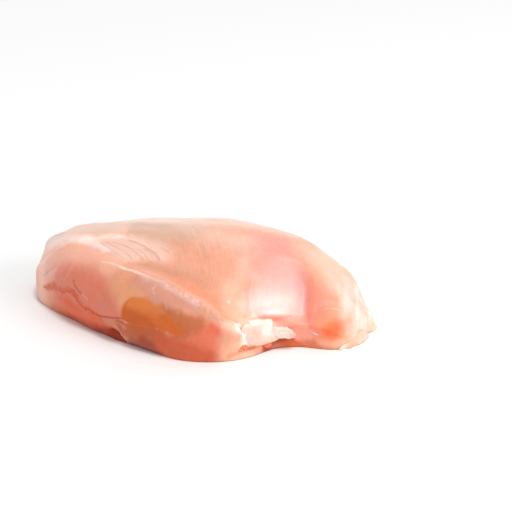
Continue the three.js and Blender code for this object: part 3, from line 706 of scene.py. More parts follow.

# Lines of colour, laid on after the patches: colour, strength, half width below and above the route,
# softness of the edge from 0 (cut) to 1 (faded from the middle out), route. Some are the meat's own lines
# and marks, some are painted shade and painted highlights.
STAINS_AND_PAINTED_LIGHT = {
    # Painted shade: the orange of the valley behind the ridge stands for the shade that falls in it.
    "painted shade in the valley behind the ridge": ("#e28a60", 0.6, 5, 7, 0.95, [
        (8, -36, 28.5), (20, -34, 27), (30, -31, 24), (39, -27, 19), (44, -23, 14)]),
    "pale middle of the dome": ("#ecc8b6", 0.5, 11, 11, 1.0, [
        (-3.3, -3.6, 34.1), (3.5, -3, 34), (10.9, -3, 34), (15.8, -1, 33.5), (20, 2, 32.5)]),
    "pale top edge of the face": ("#f2c8b4", 0.4, 5, 5, 1.0, [
        (29, -4.4, 27.4), (30.8, -6, 25.8), (32.3, -7.4, 24.1)]),
    "shade above the ridge": ("#b4785c", 0.36, 6.5, 6.5, 1.0, [
        (9, -36, 28.6), (14.6, -32.4, 27), (18.6, -29.2, 26.2), (23, -26, 25.3), (27, -24, 24)]),
    "pink corner of the tail": ("#e09c8e", 0.6, 10, 10, 0.95, [
        (-56, -42, 15), (-45, -48, 16), (-36, -50, 20)]),
    "pale rim of the tail": ("#f6ccba", 0.5, 6.5, 6.5, 1.0, [
        (-57, -43, 15), (-53.8, -45.2, 14.8), (-48.7, -48.6, 14.4), (-46.4, -50.4, 12),
        (-45, -51.6, 8.4), (-45.2, -51.6, 3.7)]),
    # Partly painted highlight: the crest's pale film, lightened to stand for the shine along it.
    "pale film and painted highlight on the tail's crest": ("#f3e6e0", 0.62, 3.2, 3.8, 1.0, [
        (-58, -38, 19.2), (-49, -40, 24.7), (-41, -41, 28), (-34, -41, 29.5), (-29.4, -38.4, 29.9)]),
    "pale film and painted highlight on the crest's thin end": ("#f6e6de", 0.5, 3.2, 1.8, 1.0, [
        (-31, -39.4, 29.7), (-27.5, -37, 30.1), (-24.5, -33.5, 31), (-21.4, -30, 31.5),
        (-19.4, -28.4, 31.6)]),
    "pale corner of the tail": ("#f6d6ca", 0.55, 3.4, 3.4, 1.0, [
        (-55, -40.5, 21), (-50, -42, 23.4), (-44, -43.4, 25.6), (-39, -44, 27)]),
    "wedge of film below it": ("#efd6cb", 0.75, 3, 2, 0.95, [
        (-29, -40, 29.8), (-21, -38, 29.9), (-13, -40, 29.9)]),
    "cream behind the end of the ridge": ("#fadcc4", 0.32, 5, 5, 1.0, [
        (34, -14.5, 21.3), (37.7, -19.5, 18.8), (41.4, -23.5, 15.9), (44, -22, 13.4)]),
    "peach left edge of the face": ("#e89a80", 0.6, 3.2, 3.2, 1.0, [
        (35.4, -6.4, 20.8), (37.6, -8.4, 18.3), (39.1, -9.8, 16.6)]),
    "peach edge of the streak": ("#f4b494", 0.5, 2.6, 2.6, 1.0, [
        (54.8, 24.7, 18), (57.4, 22.2, 17.7), (59.5, 20.1, 17.2), (61.3, 18.2, 16.5)]),
    "pale end of the arc": ("#f8d8c4", 0.36, 2.4, 2.4, 1.0, [
        (64, 15.4, 14), (65.4, 14.3, 13), (67.4, 12.6, 11.6)]),
    "pale foot beside the film": ("#ffd0ae", 0.5, 3, 3, 1.0, [
        (67.4, 1.4, 3), (69, 3.6, 3), (70.3, 5.8, 2.8), (71, 8.8, 2.2)]),
    # Painted highlight: the lit edge of the fold above the wrinkles; its painted shade follows below.
    "painted highlight on the edge above the wrinkles": ("#f3d2c0", 0.6, 0.7, 0.7, 0.8, [
        (-19, -29, 31.7), (-15, -27, 31.5), (-11, -26, 31.2), (-6, -25.2, 30.7), (-1, -25.4, 29.9)]),
    "shade under that edge": ("#bf8a72", 0.35, 2, 1, 0.9, [
        (-4, -27, 30), (1, -27.6, 29.5), (6, -29, 28.6)]),
    "light line on the tail corner": ("#f2cbbe", 0.6, 0.5, 0.5, 0.7, ROUTE["line on the tail corner"]),
    "second light line there": ("#f2cbbe", 0.55, 0.5, 0.5, 0.7, ROUTE["second line on the tail corner"]),
    "dark line there": ("#b57264", 0.5, 0.45, 0.45, 0.7, ROUTE["third line on the tail corner"]),
    "groove there": ("#b57264", 0.5, 0.5, 0.5, 0.7, ROUTE["groove on the tail corner"]),
    "light band beside the groove": ("#e6b4a4", 0.25, 1.4, 1.4, 1.0, [
        (-41, -52, 12.5), (-34, -52, 18), (-31, -51, 21.8)]),
    "fine light line on the tail side": ("#e6a28c", 0.5, 0.3, 0.3, 0.8, ROUTE["fine line on the tail side"]),
    "small tear": ("#a83208", 0.85, 0.36, 0.36, 0.8, [
        (-18.4, -53.4, 19.7), (-16.8, -54.2, 17.9), (-13.2, -54.9, 16.5), (-11, -54.9, 15.7)]),
    "light end of the tear": ("#e6a48e", 0.6, 0.35, 0.35, 0.6, [
        (-11, -54.9, 15.7), (-9.9, -54.8, 15.3), (-7.6, -54.7, 14.3)]),
    "dark line to the patch": ("#a43c0c", 0.85, 0.45, 0.45, 0.8, [
        (-5, -54.2, 9.6), (-2.4, -54.3, 9.4), (0.5, -54.5, 9.6), (3.9, -54.5, 10.4), (7, -54.4, 11),
        (10.1, -53.7, 11.6), (12.4, -53.1, 11.9)]),
    "pale stripe under the line": ("#cc7f5c", 0.7, 1.6, 1.2, 0.8, [
        (3, -55, 8.6), (8, -54, 9.6), (14, -53, 8.7)]),
    "red spot by the corner": ("#d04a24", 0.6, 3.2, 2.4, 1.0, [
        (47.6, -36.6, 14.8), (48.8, -35.4, 13.4)]),
    "start of the thin ridge": ("#f2cfbd", 0.6, 0.8, 0.7, 0.9, [
        (-8, -46.4, 28.1), (-4.9, -45.8, 28.3), (-1.1, -45.2, 28.4), (5.5, -45.3, 28.6)]),
    "thin ridge": ("#f1cdb9", 0.85, 1.0, 0.7, 0.7, [
        (2, -45.2, 28.5), (5.5, -45.3, 28.6), (9.8, -44.7, 28.8), (13.8, -44.4, 28.6),
        (19, -43.8, 28.1), (23, -43.2, 27.7)]),
    "broad ridge": ("#d29a80", 0.9, 2.2, 1.3, 0.5, [
        (21, -43.4, 28), (24.3, -42.9, 27.6), (28.9, -41.9, 26.7), (34.6, -41.4, 25.7),
        (38.5, -39.9, 24), (42.5, -38.2, 22), (45.5, -36.1, 19.4), (48.2, -33.5, 16.7),
        (49.5, -32.2, 15.4)]),
    "upper half of the ridge": ("#dcb0a6", 0.85, 1.9, 1.2, 0.7, [
        (15, -44.4, 28.6), (19, -43.8, 28.1), (24.3, -42.9, 27.6), (28.9, -41.9, 26.7),
        (34.6, -41.4, 25.7), (38.5, -39.9, 24), (41, -38.8, 22.8)]),
    "pale neck of the ridge": ("#f3d2b8", 0.45, 2.6, 2.2, 1.0, [
        (49.6, -32, 15), (50.6, -30.4, 13.8), (51.5, -28.6, 11.8)]),
    "pale end of the ridge": ("#fbeee4", 0.95, 2.6, 3.6, 0.9, [
        (51.3, -26.8, 12.4), (52.1, -25.4, 10), (52.6, -24.7, 7.4), (52.5, -24.7, 5.4)]),
    "arc over the bulge": ("#f4cfb6", 0.5, 0.5, 0.5, 0.7, ROUTE["arc over the bulge"]),
    # Painted highlight: this pale streak stands for the soft shine down the lobe's side; the raised stroke
    # of the same name is real relief.
    "streak beside the bulge": ("#f6e0db", 0.35, 2.6, 2.6, 0.95, [
        (47, 35, 16), (54, 28, 16.6), (60, 22, 16.2), (65, 17, 14.4), (68, 15.5, 12)]),
    "folds of the lobe": ("#fbeee6", 0.6, 1.6, 1.6, 0.9, [
        (51, 36, 12.8), (61, 28, 12.8), (68, 21, 11), (72.5, 18, 6.5)]),
    "shade between the folds": ("#e2b79d", 0.5, 0.9, 0.9, 0.9, [
        (58, 28, 14), (65.5, 20.5, 12.6), (70, 17, 9.2), (73, 14.4, 5.6)]),
    "long membrane thread": ("#ecc9bd", 0.6, 0.3, 0.3, 0.6, ROUTE["long membrane thread"]),
    "short membrane thread": ("#ecc9bd", 0.6, 0.3, 0.3, 0.6, ROUTE["short membrane thread"]),
    "crease in the face": ("#cf8f8a", 0.5, 0.35, 0.35, 0.8, [
        (49.5, 0.9, 14.7), (50.4, 0.3, 13.5), (51.4, -0.2, 12.2)]),
    "orange foot under the ridge": ("#ee875e", 0.65, 1.4, 1.2, 0.9, [
        (50.6, -31.6, 2.6), (51.4, -29.4, 3), (51.7, -26.6, 3.2), (51.9, -23.7, 3.1),
        (51.9, -20.7, 2.3), (51.3, -17, 1.4)]),
    # Painted light: the pale wall behind the tab lifts the shade of the slit between tab and ridge end.
    "painted light on the wall behind the tab": ("#ffdac8", 0.85, 3, 3, 0.8, [
        (46.4, -20.4, 10.9), (49.4, -23, 11.4), (50.6, -24.8, 11.8)]),
    "pale edge beside the tab": ("#ffd6bc", 0.7, 2, 2, 0.9, [
        (47, -21.6, 11.7), (45.3, -18.9, 11), (43.4, -13.6, 11.4)]),
    # Painted glints: two small white spots standing for sparkles of the wet surface.
    "painted glint": ("#fdf0e8", 0.65, 0.5, 0.5, 0.7, [(38.6, -21, 18.2), (39.2, -21.4, 18)]),
    "lower painted glint": ("#fbe6da", 0.5, 0.4, 0.4, 0.7, [(39.8, -25, 17.6), (40.2, -25.2, 17.4)]),
    "pale back of the lobe": ("#f6dccc", 0.7, 7, 9, 0.95, [
        (56, 36, 15), (62, 32, 13), (68, 26, 10), (73, 20, 8), (74, 16, 6)]),
    "hot spot of the bulge": ("#ee6628", 0.85, 5.0, 4.4, 1.0, [(68.7, 4.0, 8.2), (69, 5.8, 9)]),
    "fat in the lateral furrow": ("#f3dccb", 0.6, 1.3, 1, 0.9, [
        (40, 38, 21), (28, 41.5, 20.5), (14, 43.5, 20), (0, 42.5, 19), (-14, 39, 18)]),
    "vein on the lateral side": ("#a8483c", 0.35, 0.35, 0.35, 0.7, [
        (-40, 24, 15), (-30, 31, 15), (-21, 37, 14), (-12, 41, 15.5), (-4, 43.5, 14), (4, 46, 11)]),
    "flush on the lateral side": ("#e08e7c", 0.5, 8, 8, 0.98, [
        (-46, 20, 10), (-34, 30, 11), (-22, 38, 10)]),
    "flush behind the lobe": ("#e79e88", 0.5, 7, 7, 0.98, [(20, 50, 8), (34, 47, 8), (46, 41, 7)]),
    "film on the tail tip": ("#efd3c6", 0.6, 3, 4, 0.9, [(-66, -12, 14), (-60, 2, 15), (-52, 13, 13)]),
}


def band_mask(points, normals, route, below, above, softness, wander):
    """1 on the route, fading to 0 at its half width, from where softness starts the fade."""
    mask = np.zeros(len(points))
    near, gap, _, upper = beside(points, normals, route, 1.6 * max(below, above))
    distance = gap / np.where(upper, above, below) + wander[near]
    mask[near] = 1 - smooth(1 - softness, 1 + 0.25 * softness, distance)
    return mask


# Soft noise that leads the edges of patches and of lines astray: height, size, seed
REGION_WANDER = [(0.5, 5, 11), (0.25, 1.8, 12)]
LINE_WANDER = [(0.08, 4, 13), (0.06, 1.6, 14)]


def flesh_tints(points, normals):
    """Muscle colour with every patch, line and wrinkle laid over it in turn, by its mask; some patches and
    lines are painted shade and painted highlights, and the wrinkles' darker colour is painted shade in their
    grooves.
    """
    tint = np.tile(linear(MUSCLE), (len(points), 1))
    wander = noise(points, REGION_WANDER)
    for colour, strength, side, outline in REGIONS.values():
        mask = strength * region_mask(points, normals, side, outline, wander)
        tint += (linear(colour) - tint) * mask[:, None]
    wander = noise(points, LINE_WANDER)
    for colour, strength, below, above, softness, route in STAINS_AND_PAINTED_LIGHT.values():
        mask = strength * band_mask(points, normals, route, below, above, softness, wander)
        tint += (linear(colour) - tint) * mask[:, None]
    # Painted shade: each wrinkle's groove is darkened by its depth.
    for below, above, rises, route in wrinkle_strokes().values():
        mask = band_mask(points, normals, route, below, above, WRINKLE_SOFTNESS, wander)
        tint += (linear(WRINKLE_SHADE_COLOUR) - tint) * (-WRINKLE_SHADE_STRENGTH * rises[1] * mask)[:, None]
    return tint


def torn_mask(points, normals):
    """1 in the torn membrane and 0 outside, with an edge as wide as its fray."""
    return region_mask(points, normals, KEEL_SIDE, [(u, v, TORN_FRAY) for u, v in TORN_MEMBRANE])


def vertex_normals(piece):
    """The way the surface faces at each point."""
    normals = np.empty(len(piece.data.vertices) * 3)
    piece.data.vertices.foreach_get("normal", normals)
    return normals.reshape(-1, 3)


def round_ends(t):
    """The root of 1 - (2t - 1)6: 1 for most of the way from 0 to 1, and 0 at both ends."""
    return np.sqrt(np.clip(1 - (2 * t - 1) ** 6, 0, 1))


def thread_rows(route, widths, across=16, rows=60):
    """A round thread along a route, whose half width follows widths and closes almost to nothing at its
    ends: route + width (side cos a + up sin a)."""
    line = even_line(open_line(route, THREAD_STEPS), rows)
    width = even_line(open_line(np.array(widths)[:, None], THREAD_STEPS), rows)
    width = (width * np.maximum(round_ends(np.linspace(0, 1, rows)), 0.02)[:, None])[:, None]
    tangent = unit(np.gradient(line, axis=0))
    side = unit(np.cross(tangent, (0, 0, 1)))
    up = np.cross(side, tangent)
    angle = np.linspace(0, 2 * np.pi, across, endpoint=False)[None, :, None]
    return line[:, None] + width * (side[:, None] * np.cos(angle) + up[:, None] * np.sin(angle))


def pad(outline, lean, front, back, lumps, lump_size, seed, rows=80, steps=16):
    """A cushion seen from the front end. Its rim is the closed outline drawn on FRONT_END. The plane of
    the rim stands lean[0] out at its middle and lean[1] further for each mm to the right. At share r of
    the way from the middle to the rim the surface lies front times the root of 1 - r3 before that plane,
    or back times it behind; soft noise of lumps mm raises it."""
    u_axis, v_axis, facing = (np.array(axis, float) for axis in FRONT_END[:3])
    rim = closed_line(outline, steps)
    middle = rim.mean(0)
    angle = np.linspace(0, np.pi, rows + 2)[1:-1, None]
    share = np.sin(angle)
    swell = np.sqrt(np.clip(1 - share**3, 0, 1)) * np.where(angle < np.pi / 2, -back, front)
    place = middle + share[..., None] * (rim - middle)
    out = lean[0] + lean[1] * (place[..., 0] - middle[0]) + swell
    surface = place[..., :1] * u_axis + place[..., 1:] * v_axis + out[..., None] * facing
    bumps = [(lumps, lump_size, seed), (0.4 * lumps, lump_size / 3, seed + 1)]
    return surface + row_normals(surface) * noise(surface.reshape(-1, 3), bumps).reshape(rows, -1, 1)


# The unevenness of a skirt's foot: height and size
RAGGED_FOOT = [(0.35, 2.6), (0.15, 1.1)]


def skirt(route, tops, feet, tucks, flares, folds, fold_length, thickness, seed, rows=150, across=64):
    """A thin skirt round the outer side of a route in plan. At each place along it the ring goes down its
    outside and up its inside. At share d of the way down it stands out by -tuck (1 - d)2 + flare d1.5,
    plus soft folds that grow with d, and half its thickness follows half an ellipse."""
    t = np.linspace(0, 1, rows)
    plan = even_line(open_line(np.array(route, float), THREAD_STEPS), rows)
    knots = np.linspace(0, 1, len(tops))
    courses = (tops, feet, tucks, flares)
    top, foot, tuck, flare = (np.interp(t, knots, values)[:, None] for values in courses)
    tangent = np.gradient(plan, axis=0)
    outward = unit(np.stack([-tangent[:, 1], tangent[:, 0]], 1))
    outward *= np.sign((outward * (plan - CENTRE)).sum(1, keepdims=True))
    angle = np.linspace(0, 2 * np.pi, across, endpoint=False)[None]
    down = (1 - np.cos(angle)) / 2
    ends = round_ends(t)[:, None]
    line = np.concatenate([plan, np.zeros((rows, 1))], 1)
    ragged = noise(line, [(*part, seed + k) for k, part in enumerate(RAGGED_FOOT)])[:, None]
    fold = noise(line, [(folds, fold_length, seed + 2)])[:, None]
    foot = foot + ragged
    height = foot + (top - foot) * (1 - down) * np.maximum(ends, 0.05)
    way = -tuck * (1 - down) ** 2 + flare * down**1.5 + fold * down
    way = way + 0.5 * thickness * np.sin(angle) * ends
    ground = plan[:, None] + outward[:, None] * way[..., None]
    return np.concatenate([ground, height[..., None]], -1)


def spotted(points, colour, spots):
    """One colour for every point, with soft spots laid over it: colour, strength, middle on FRONT_END,
    radii there."""
    seen = np.stack([points @ np.array(FRONT_END[0], float), points[:, 2]], 1)
    tint = np.tile(linear(colour), (len(points), 1))
    for spot, strength, centre, radii in spots:
        tint += (linear(spot) - tint) * (strength * bell(seen, centre, radii))[:, None]
    return tint


def add(tree, kind, links=None, **settings):
    """Adds a node. settings are its own options, links gives inputs a value or another node's output."""
    node = tree.nodes.new(kind)
    for key, value in settings.items():
        setattr(node, key, value)
    for key, value in (links or {}).items():
        socket = node.inputs[key]
        if isinstance(value, bpy.types.NodeSocket):
            tree.links.new(value, socket)
        else:
            socket.default_value = value
    return node


# A Mix node's colour sockets: its first and second input and its output
MIX_FIRST, MIX_SECOND, MIX_RESULT = 6, 7, 2

# Sizes of the details in the materials, in mm
FIBRE_WIDTH = 0.5
FIBRE_LENGTH = 14.0
MOTTLE_SIZE = 6.0
PORE_SIZE = 1.1
FRAY_SIZE = 0.7
FAT_CLOUD_SIZE = 2.6
FAT_GRAIN_SIZE = 0.9


def node_scale(size):
    """The Scale of a noise that reads metres, for details of a size in mm."""
    return 1 / (size * MM)


def empty_material(name):
    """A material with nothing in its tree yet."""
    material = bpy.data.materials.new(name)
    material.use_nodes = True
    material.node_tree.nodes.clear()
    return material, material.node_tree


def wet_meat():
    """Raw poultry muscle under its own thin membrane, wet: light sinks in and comes out red, fine pale
    fibres run through it, and a film of water gives a soft, broken shine. The attributes tint, grain,
    fibred, torn and wet give its colour, the fibres' run and strength, the torn place and the water."""
    material, tree = empty_material("raw_poultry_muscle_wet")
    tint = add(tree, "ShaderNodeAttribute", attribute_name="tint").outputs["Color"]
    grain = add(tree, "ShaderNodeAttribute", attribute_name="grain").outputs["Vector"]
    fibred = add(tree, "ShaderNodeAttribute", attribute_name="fibred").outputs["Fac"]
    torn = add(tree, "ShaderNodeAttribute", attribute_name="torn").outputs["Fac"]
    wet = add(tree, "ShaderNodeAttribute", attribute_name="wet").outputs["Fac"]
    place = add(tree, "ShaderNodeTexCoord").outputs["Object"]
    fibre_run = add(tree, "ShaderNodeVectorMath", {
        0: grain, 1: (1 / FIBRE_WIDTH, 1 / FIBRE_LENGTH, 0.0)}, operation="MULTIPLY").outputs[0]
    fibres = add(tree, "ShaderNodeTexNoise", {
        "Vector": fibre_run, "Scale": 1.0, "Detail": 2.0, "Roughness": 0.5}).outputs[0]
    mottle = add(tree, "ShaderNodeTexNoise", {
        "Vector": place, "Scale": node_scale(MOTTLE_SIZE), "Detail": 4.0, "Roughness": 0.6}).outputs[0]
    pores = add(tree, "ShaderNodeTexNoise", {
        "Vector": place, "Scale": node_scale(PORE_SIZE), "Detail": 2.0}).outputs[0]
    fray = add(tree, "ShaderNodeTexNoise", {
        "Vector": place, "Scale": node_scale(FRAY_SIZE), "Detail": 3.0, "Roughness": 0.6}).outputs[0]

    # Fibres, mottle and pores each make the tint a little lighter and darker.
    swing = add(tree, "ShaderNodeMath", {0: fibres, 1: 0.5}, operation="SUBTRACT").outputs[0]
    swing = add(tree, "ShaderNodeMath", {0: swing, 1: fibred}, operation="MULTIPLY").outputs[0]
    light = add(tree, "ShaderNodeMath", {0: swing, 1: 0.45, 2: 1.0}, operation="MULTIPLY_ADD").outputs[0]
    patchy = add(tree, "ShaderNodeMapRange", {
        "Value": mottle, "From Min": 0.3, "From Max": 0.7, "To Min": 0.96, "To Max": 1.04}).outputs[0]
    grainy = add(tree, "ShaderNodeMapRange", {
        "Value": pores, "From Min": 0.3, "From Max": 0.7, "To Min": 0.975, "To Max": 1.025}).outputs[0]
    shade = add(tree, "ShaderNodeMath", {0: light, 1: patchy}, operation="MULTIPLY").outputs[0]
    shade = add(tree, "ShaderNodeMath", {0: shade, 1: grainy}, operation="MULTIPLY").outputs[0]
    colour = add(tree, "ShaderNodeVectorMath", {0: tint, "Scale": shade}, operation="SCALE").outputs[0]

    # The torn place: its mask plus four times the fray noise less its mean, kept where the mask is.
    frayed = add(tree, "ShaderNodeMath", {0: fray, 1: 4.0, 2: -2.0}, operation="MULTIPLY_ADD").outputs[0]
    frayed = add(tree, "ShaderNodeMath", {0: frayed, 1: torn}, operation="ADD").outputs[0]
    tear = add(tree, "ShaderNodeMapRange", {
        "Value": frayed, "From Min": 0.4, "From Max": 0.75, "To Min": 0.0, "To Max": 0.85}).outputs[0]
    near_it = add(tree, "ShaderNodeMapRange", {
        "Value": torn, "From Min": 0.0, "From Max": 0.15, "To Min": 0.0, "To Max": 1.0}).outputs[0]
    tear = add(tree, "ShaderNodeMath", {0: tear, 1: near_it}, operation="MULTIPLY").outputs[0]
    colour = add(tree, "ShaderNodeMix", {
        "Factor": tear, MIX_FIRST: colour, MIX_SECOND: opaque(TORN_COLOUR),
    }, data_type="RGBA").outputs[MIX_RESULT]

    # Water lies in the mottle's hollows and makes the surface smoother.
    rough = add(tree, "ShaderNodeMapRange", {
        "Value": mottle, "From Min": 0.3, "From Max": 0.7, "To Min": 0.38, "To Max": 0.5}).outputs[0]
    soaked = add(tree, "ShaderNodeMapRange", {
        "Value": wet, "From Min": 0.5, "From Max": 1.0, "To Min": 0.0, "To Max": 0.17}).outputs[0]
    rough = add(tree, "ShaderNodeMath", {0: rough, 1: soaked}, operation="SUBTRACT").outputs[0]
    skin = add(tree, "ShaderNodeBump", {
        "Height": swing, "Strength": 0.6, "Distance": 0.12 * MM}).outputs[0]
    skin = add(tree, "ShaderNodeBump", {
        "Height": mottle, "Strength": 0.3, "Distance": 0.3 * MM, "Normal": skin}).outputs[0]
    skin = add(tree, "ShaderNodeBump", {
        "Height": pores, "Strength": 0.25, "Distance": 0.08 * MM, "Normal": skin}).outputs[0]
    skin = add(tree, "ShaderNodeBump", {
        "Height": tear, "Strength": 0.4, "Distance": 0.1 * MM, "Normal": skin}).outputs[0]
    shader = add(tree, "ShaderNodeBsdfPrincipled", {
        "Base Color": colour, "Roughness": rough, "IOR": 1.38, "Normal": skin,
        "Subsurface Weight": 0.75, "Subsurface Radius": (1.0, 0.38, 0.2), "Subsurface Scale": 2.8 * MM,
        "Coat Weight": wet, "Coat Roughness": 0.28, "Coat IOR": 1.33, "Coat Normal": skin,
    })
    add(tree, "ShaderNodeOutputMaterial", {"Surface": shader.outputs[0]})
    return material


# The colour of the clouds in the fat
PINK_CLOUDS = "#efb09a"


def wet_fat():
    """Fat: milky white to cream with pink clouds, soft and wet, in small soft lobules."""
    material, tree = empty_material("raw_poultry_fat_wet")
    tint = add(tree, "ShaderNodeAttribute", attribute_name="tint").outputs["Color"]
    place = add(tree, "ShaderNodeTexCoord").outputs["Object"]
    cloud = add(tree, "ShaderNodeTexNoise", {
        "Vector": place, "Scale": node_scale(FAT_CLOUD_SIZE), "Detail": 4.0, "Roughness": 0.6}).outputs[0]
    grains = add(tree, "ShaderNodeTexNoise", {
        "Vector": place, "Scale": node_scale(FAT_GRAIN_SIZE), "Detail": 3.0}).outputs[0]
    clouded = add(tree, "ShaderNodeMapRange", {
        "Value": cloud, "From Min": 0.4, "From Max": 0.62, "To Min": 0.35, "To Max": 0.0}).outputs[0]
    colour = add(tree, "ShaderNodeMix", {
        "Factor": clouded, MIX_FIRST: tint, MIX_SECOND: opaque(PINK_CLOUDS),
    }, data_type="RGBA").outputs[MIX_RESULT]
    skin = add(tree, "ShaderNodeBump", {
        "Height": cloud, "Strength": 0.3, "Distance": 0.3 * MM}).outputs[0]
    skin = add(tree, "ShaderNodeBump", {
        "Height": grains, "Strength": 0.3, "Distance": 0.12 * MM, "Normal": skin}).outputs[0]
    shader = add(tree, "ShaderNodeBsdfPrincipled", {
        "Base Color": colour, "Roughness": 0.4, "IOR": 1.42, "Normal": skin,
        "Subsurface Weight": 0.7, "Subsurface Radius": (1.0, 0.6, 0.4), "Subsurface Scale": 2.5 * MM,
        "Coat Weight": 0.4, "Coat Roughness": 0.2, "Coat IOR": 1.33, "Coat Normal": skin,
    })
    add(tree, "ShaderNodeOutputMaterial", {"Surface": shader.outputs[0]})
    return material


def wet_membrane():
    """Connective tissue film, thin and wet: milky and a little see-through, with cloudy thick and thin
    places, so what lies behind it shows warm."""
    material, tree = empty_material("raw_connective_tissue_film_wet")
    tint = add(tree, "ShaderNodeAttribute", attribute_name="tint").outputs["Color"]
    place = add(tree, "ShaderNodeTexCoord").outputs["Object"]
    cloud = add(tree, "ShaderNodeTexNoise", {
        "Vector": place, "Scale": node_scale(FAT_CLOUD_SIZE), "Detail": 4.0, "Roughness": 0.6}).outputs[0]
    thin = add(tree, "ShaderNodeMapRange", {
        "Value": cloud, "From Min": 0.3, "From Max": 0.7, "To Min": 0.9, "To Max": 1.08}).outputs[0]
    colour = add(tree, "ShaderNodeVectorMath", {0: tint, "Scale": thin}, operation="SCALE").outputs[0]
    skin = add(tree, "ShaderNodeBump", {
        "Height": cloud, "Strength": 0.4, "Distance": 0.3 * MM}).outputs[0]
    shader = add(tree, "ShaderNodeBsdfPrincipled", {
        "Base Color": colour, "Roughness": 0.35, "IOR": 1.38, "Normal": skin,
        "Subsurface Weight": 0.5, "Subsurface Radius": (1.0, 0.8, 0.65), "Subsurface Scale": 0.8 * MM,
        "Coat Weight": 0.4, "Coat Roughness": 0.18, "Coat IOR": 1.33, "Coat Normal": skin,
    })
    add(tree, "ShaderNodeOutputMaterial", {"Surface": shader.outputs[0]})
    return material


WHITE_PAPER = "#ececec"


def matt_paper():
    """Uncoated white paper: even and matt, so it gives back no reflection of the meat."""
    material, tree = empty_material("matt_white_paper")
    shader = add(tree, "ShaderNodeBsdfPrincipled", {"Base Color": opaque(WHITE_PAPER), "Roughness": 0.9})
    add(tree, "ShaderNodeOutputMaterial", {"Surface": shader.outputs[0]})
    return material


def finish_piece(piece, material):
    """Gives the piece its material, hangs it on the root body and hides the breast part of model.glb."""
    piece.data.materials.append(material)
    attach(piece, "root")
    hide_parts("breast")


def tinted_piece(name, rows, colour, spots, material):
    """A closed piece from rows, in one colour with soft spots on it."""
    piece, points = closed_piece(name, rows)
    give_values(piece, "tint", spotted(points, colour, spots))
    finish_piece(piece, material)


muscle = wet_meat()
fat = wet_fat()
membrane = wet_membrane()

# How wet the flesh is, from 0 to 1: all over, by soft noise, and more or less in places (change, centre,
# radii). The furrow between face and lobe is dry: half widths below and above it, softness.
WETNESS = 0.42
WETNESS_WANDER = [(0.1, 16, 22)]
WET_PLACES = {
    "front face": (0.6, (45.5, -4.5, 13), (11, 11, 7)),
    "bulge of the lobe": (-0.5, (68, 7, 9), (9, 9, 9)),
    "keel side": (-0.25, (-5, -56, 8), (55, 14, 14)),
}
DRY_FURROW = (2, 6, 0.8)

# How strongly the fibres show: all over, and how much more on the crown (change, centre, radii)
FIBRES_SHOW = 0.3
FIBRED_CROWN = (0.7, (14, -8, 31), (34, 26, 14))


def flesh_wetness(points, normals):
    """WETNESS plus its noise and a bell for each place, and 0 in the dry furrow."""
    wetness = WETNESS + noise(points, WETNESS_WANDER)
    for change, centre, radii in WET_PLACES.values():
        wetness += change * bell(points, centre, radii)
    furrow = STROKES["furrow between face and lobe"][-1]
    wetness *= 1 - band_mask(points, normals, furrow, *DRY_FURROW, 0 * wetness)
    return np.clip(wetness, 0, 1)


flesh, flesh_points = closed_piece("flesh", flesh_form())
flesh_normals = vertex_normals(flesh)
give_values(flesh, "tint", flesh_tints(flesh_points, flesh_normals))
give_values(flesh, "torn", torn_mask(flesh_points, flesh_normals))
give_values(flesh, "grain", grain_places(flesh_points))
give_values(flesh, "fibred", FIBRES_SHOW + FIBRED_CROWN[0] * bell(flesh_points, *FIBRED_CROWN[1:]))
give_values(flesh, "wet", flesh_wetness(flesh_points, flesh_normals))
finish_piece(flesh, muscle)

# The fat tab hangs from the end of the keel ridge across the notch, in two lumps: outline on FRONT_END,
# lean, swell before and behind, bumps and their size, seed, colour and the spots on it.
TAB_LUMPS = {
    "fat_tab": (
        [(17.6, 13.6), (18, 14.4), (20.7, 14.3), (23, 13.6), (26, 13.2), (27, 12.3), (27, 9.8),
         (27.2, 8.1), (28.8, 6.3), (30, 4.9), (28.4, 3.9), (26.1, 3.4), (23, 3.3), (20.3, 3.2),
         (18.2, 3.8), (16.2, 5.9), (15, 9), (15.3, 12)],
        (50.8, -0.54), 1.3, 4.2, 0.1, 5.0, 31, "#f5d6c8", [
            ("#f2b9a8", 0.6, (20, 9.5), (2.2, 2.6)),
            ("#f5c3a4", 0.75, (22, 3.8), (8, 1.8)),
            # Painted highlight: the near-white spot on the right of the lump stands for its shine.
            ("#fffaf6", 0.9, (25, 10), (1.9, 3.2)),
            ("#fff4ec", 0.7, (19.5, 13.4), (2.6, 1))]),
    "fat_tip": (
        [(26.4, 8.9), (27.6, 9.5), (29.9, 9.5), (32.2, 9.4), (33.7, 8.8), (34.9, 7.8), (36.1, 6.6),
         (35.5, 5.4), (33.8, 4.8), (31.5, 4.9), (28.8, 5), (26.5, 5.7), (26.1, 7.6)],
        (47.8, 0.05), 1.1, 2.4, 0.1, 2.0, 35, "#f9e8de", [
            ("#f0a49a", 0.85, (35.2, 6.6), (2.4, 2.4)),
            ("#f2bcae", 0.6, (32.6, 8.4), (3, 1.4)),
            ("#f7d2bd", 0.6, (29, 5), (5, 1)),
            ("#fdf0ea", 0.6, (30.5, 7.6), (2.4, 1.4)),
            ("#f3cbbb", 0.6, (31, 9.6), (3, 0.9))]),
}
for name, (*shape, colour, spots) in TAB_LUMPS.items():
    tinted_piece(name, pad(*shape), colour, spots, fat)

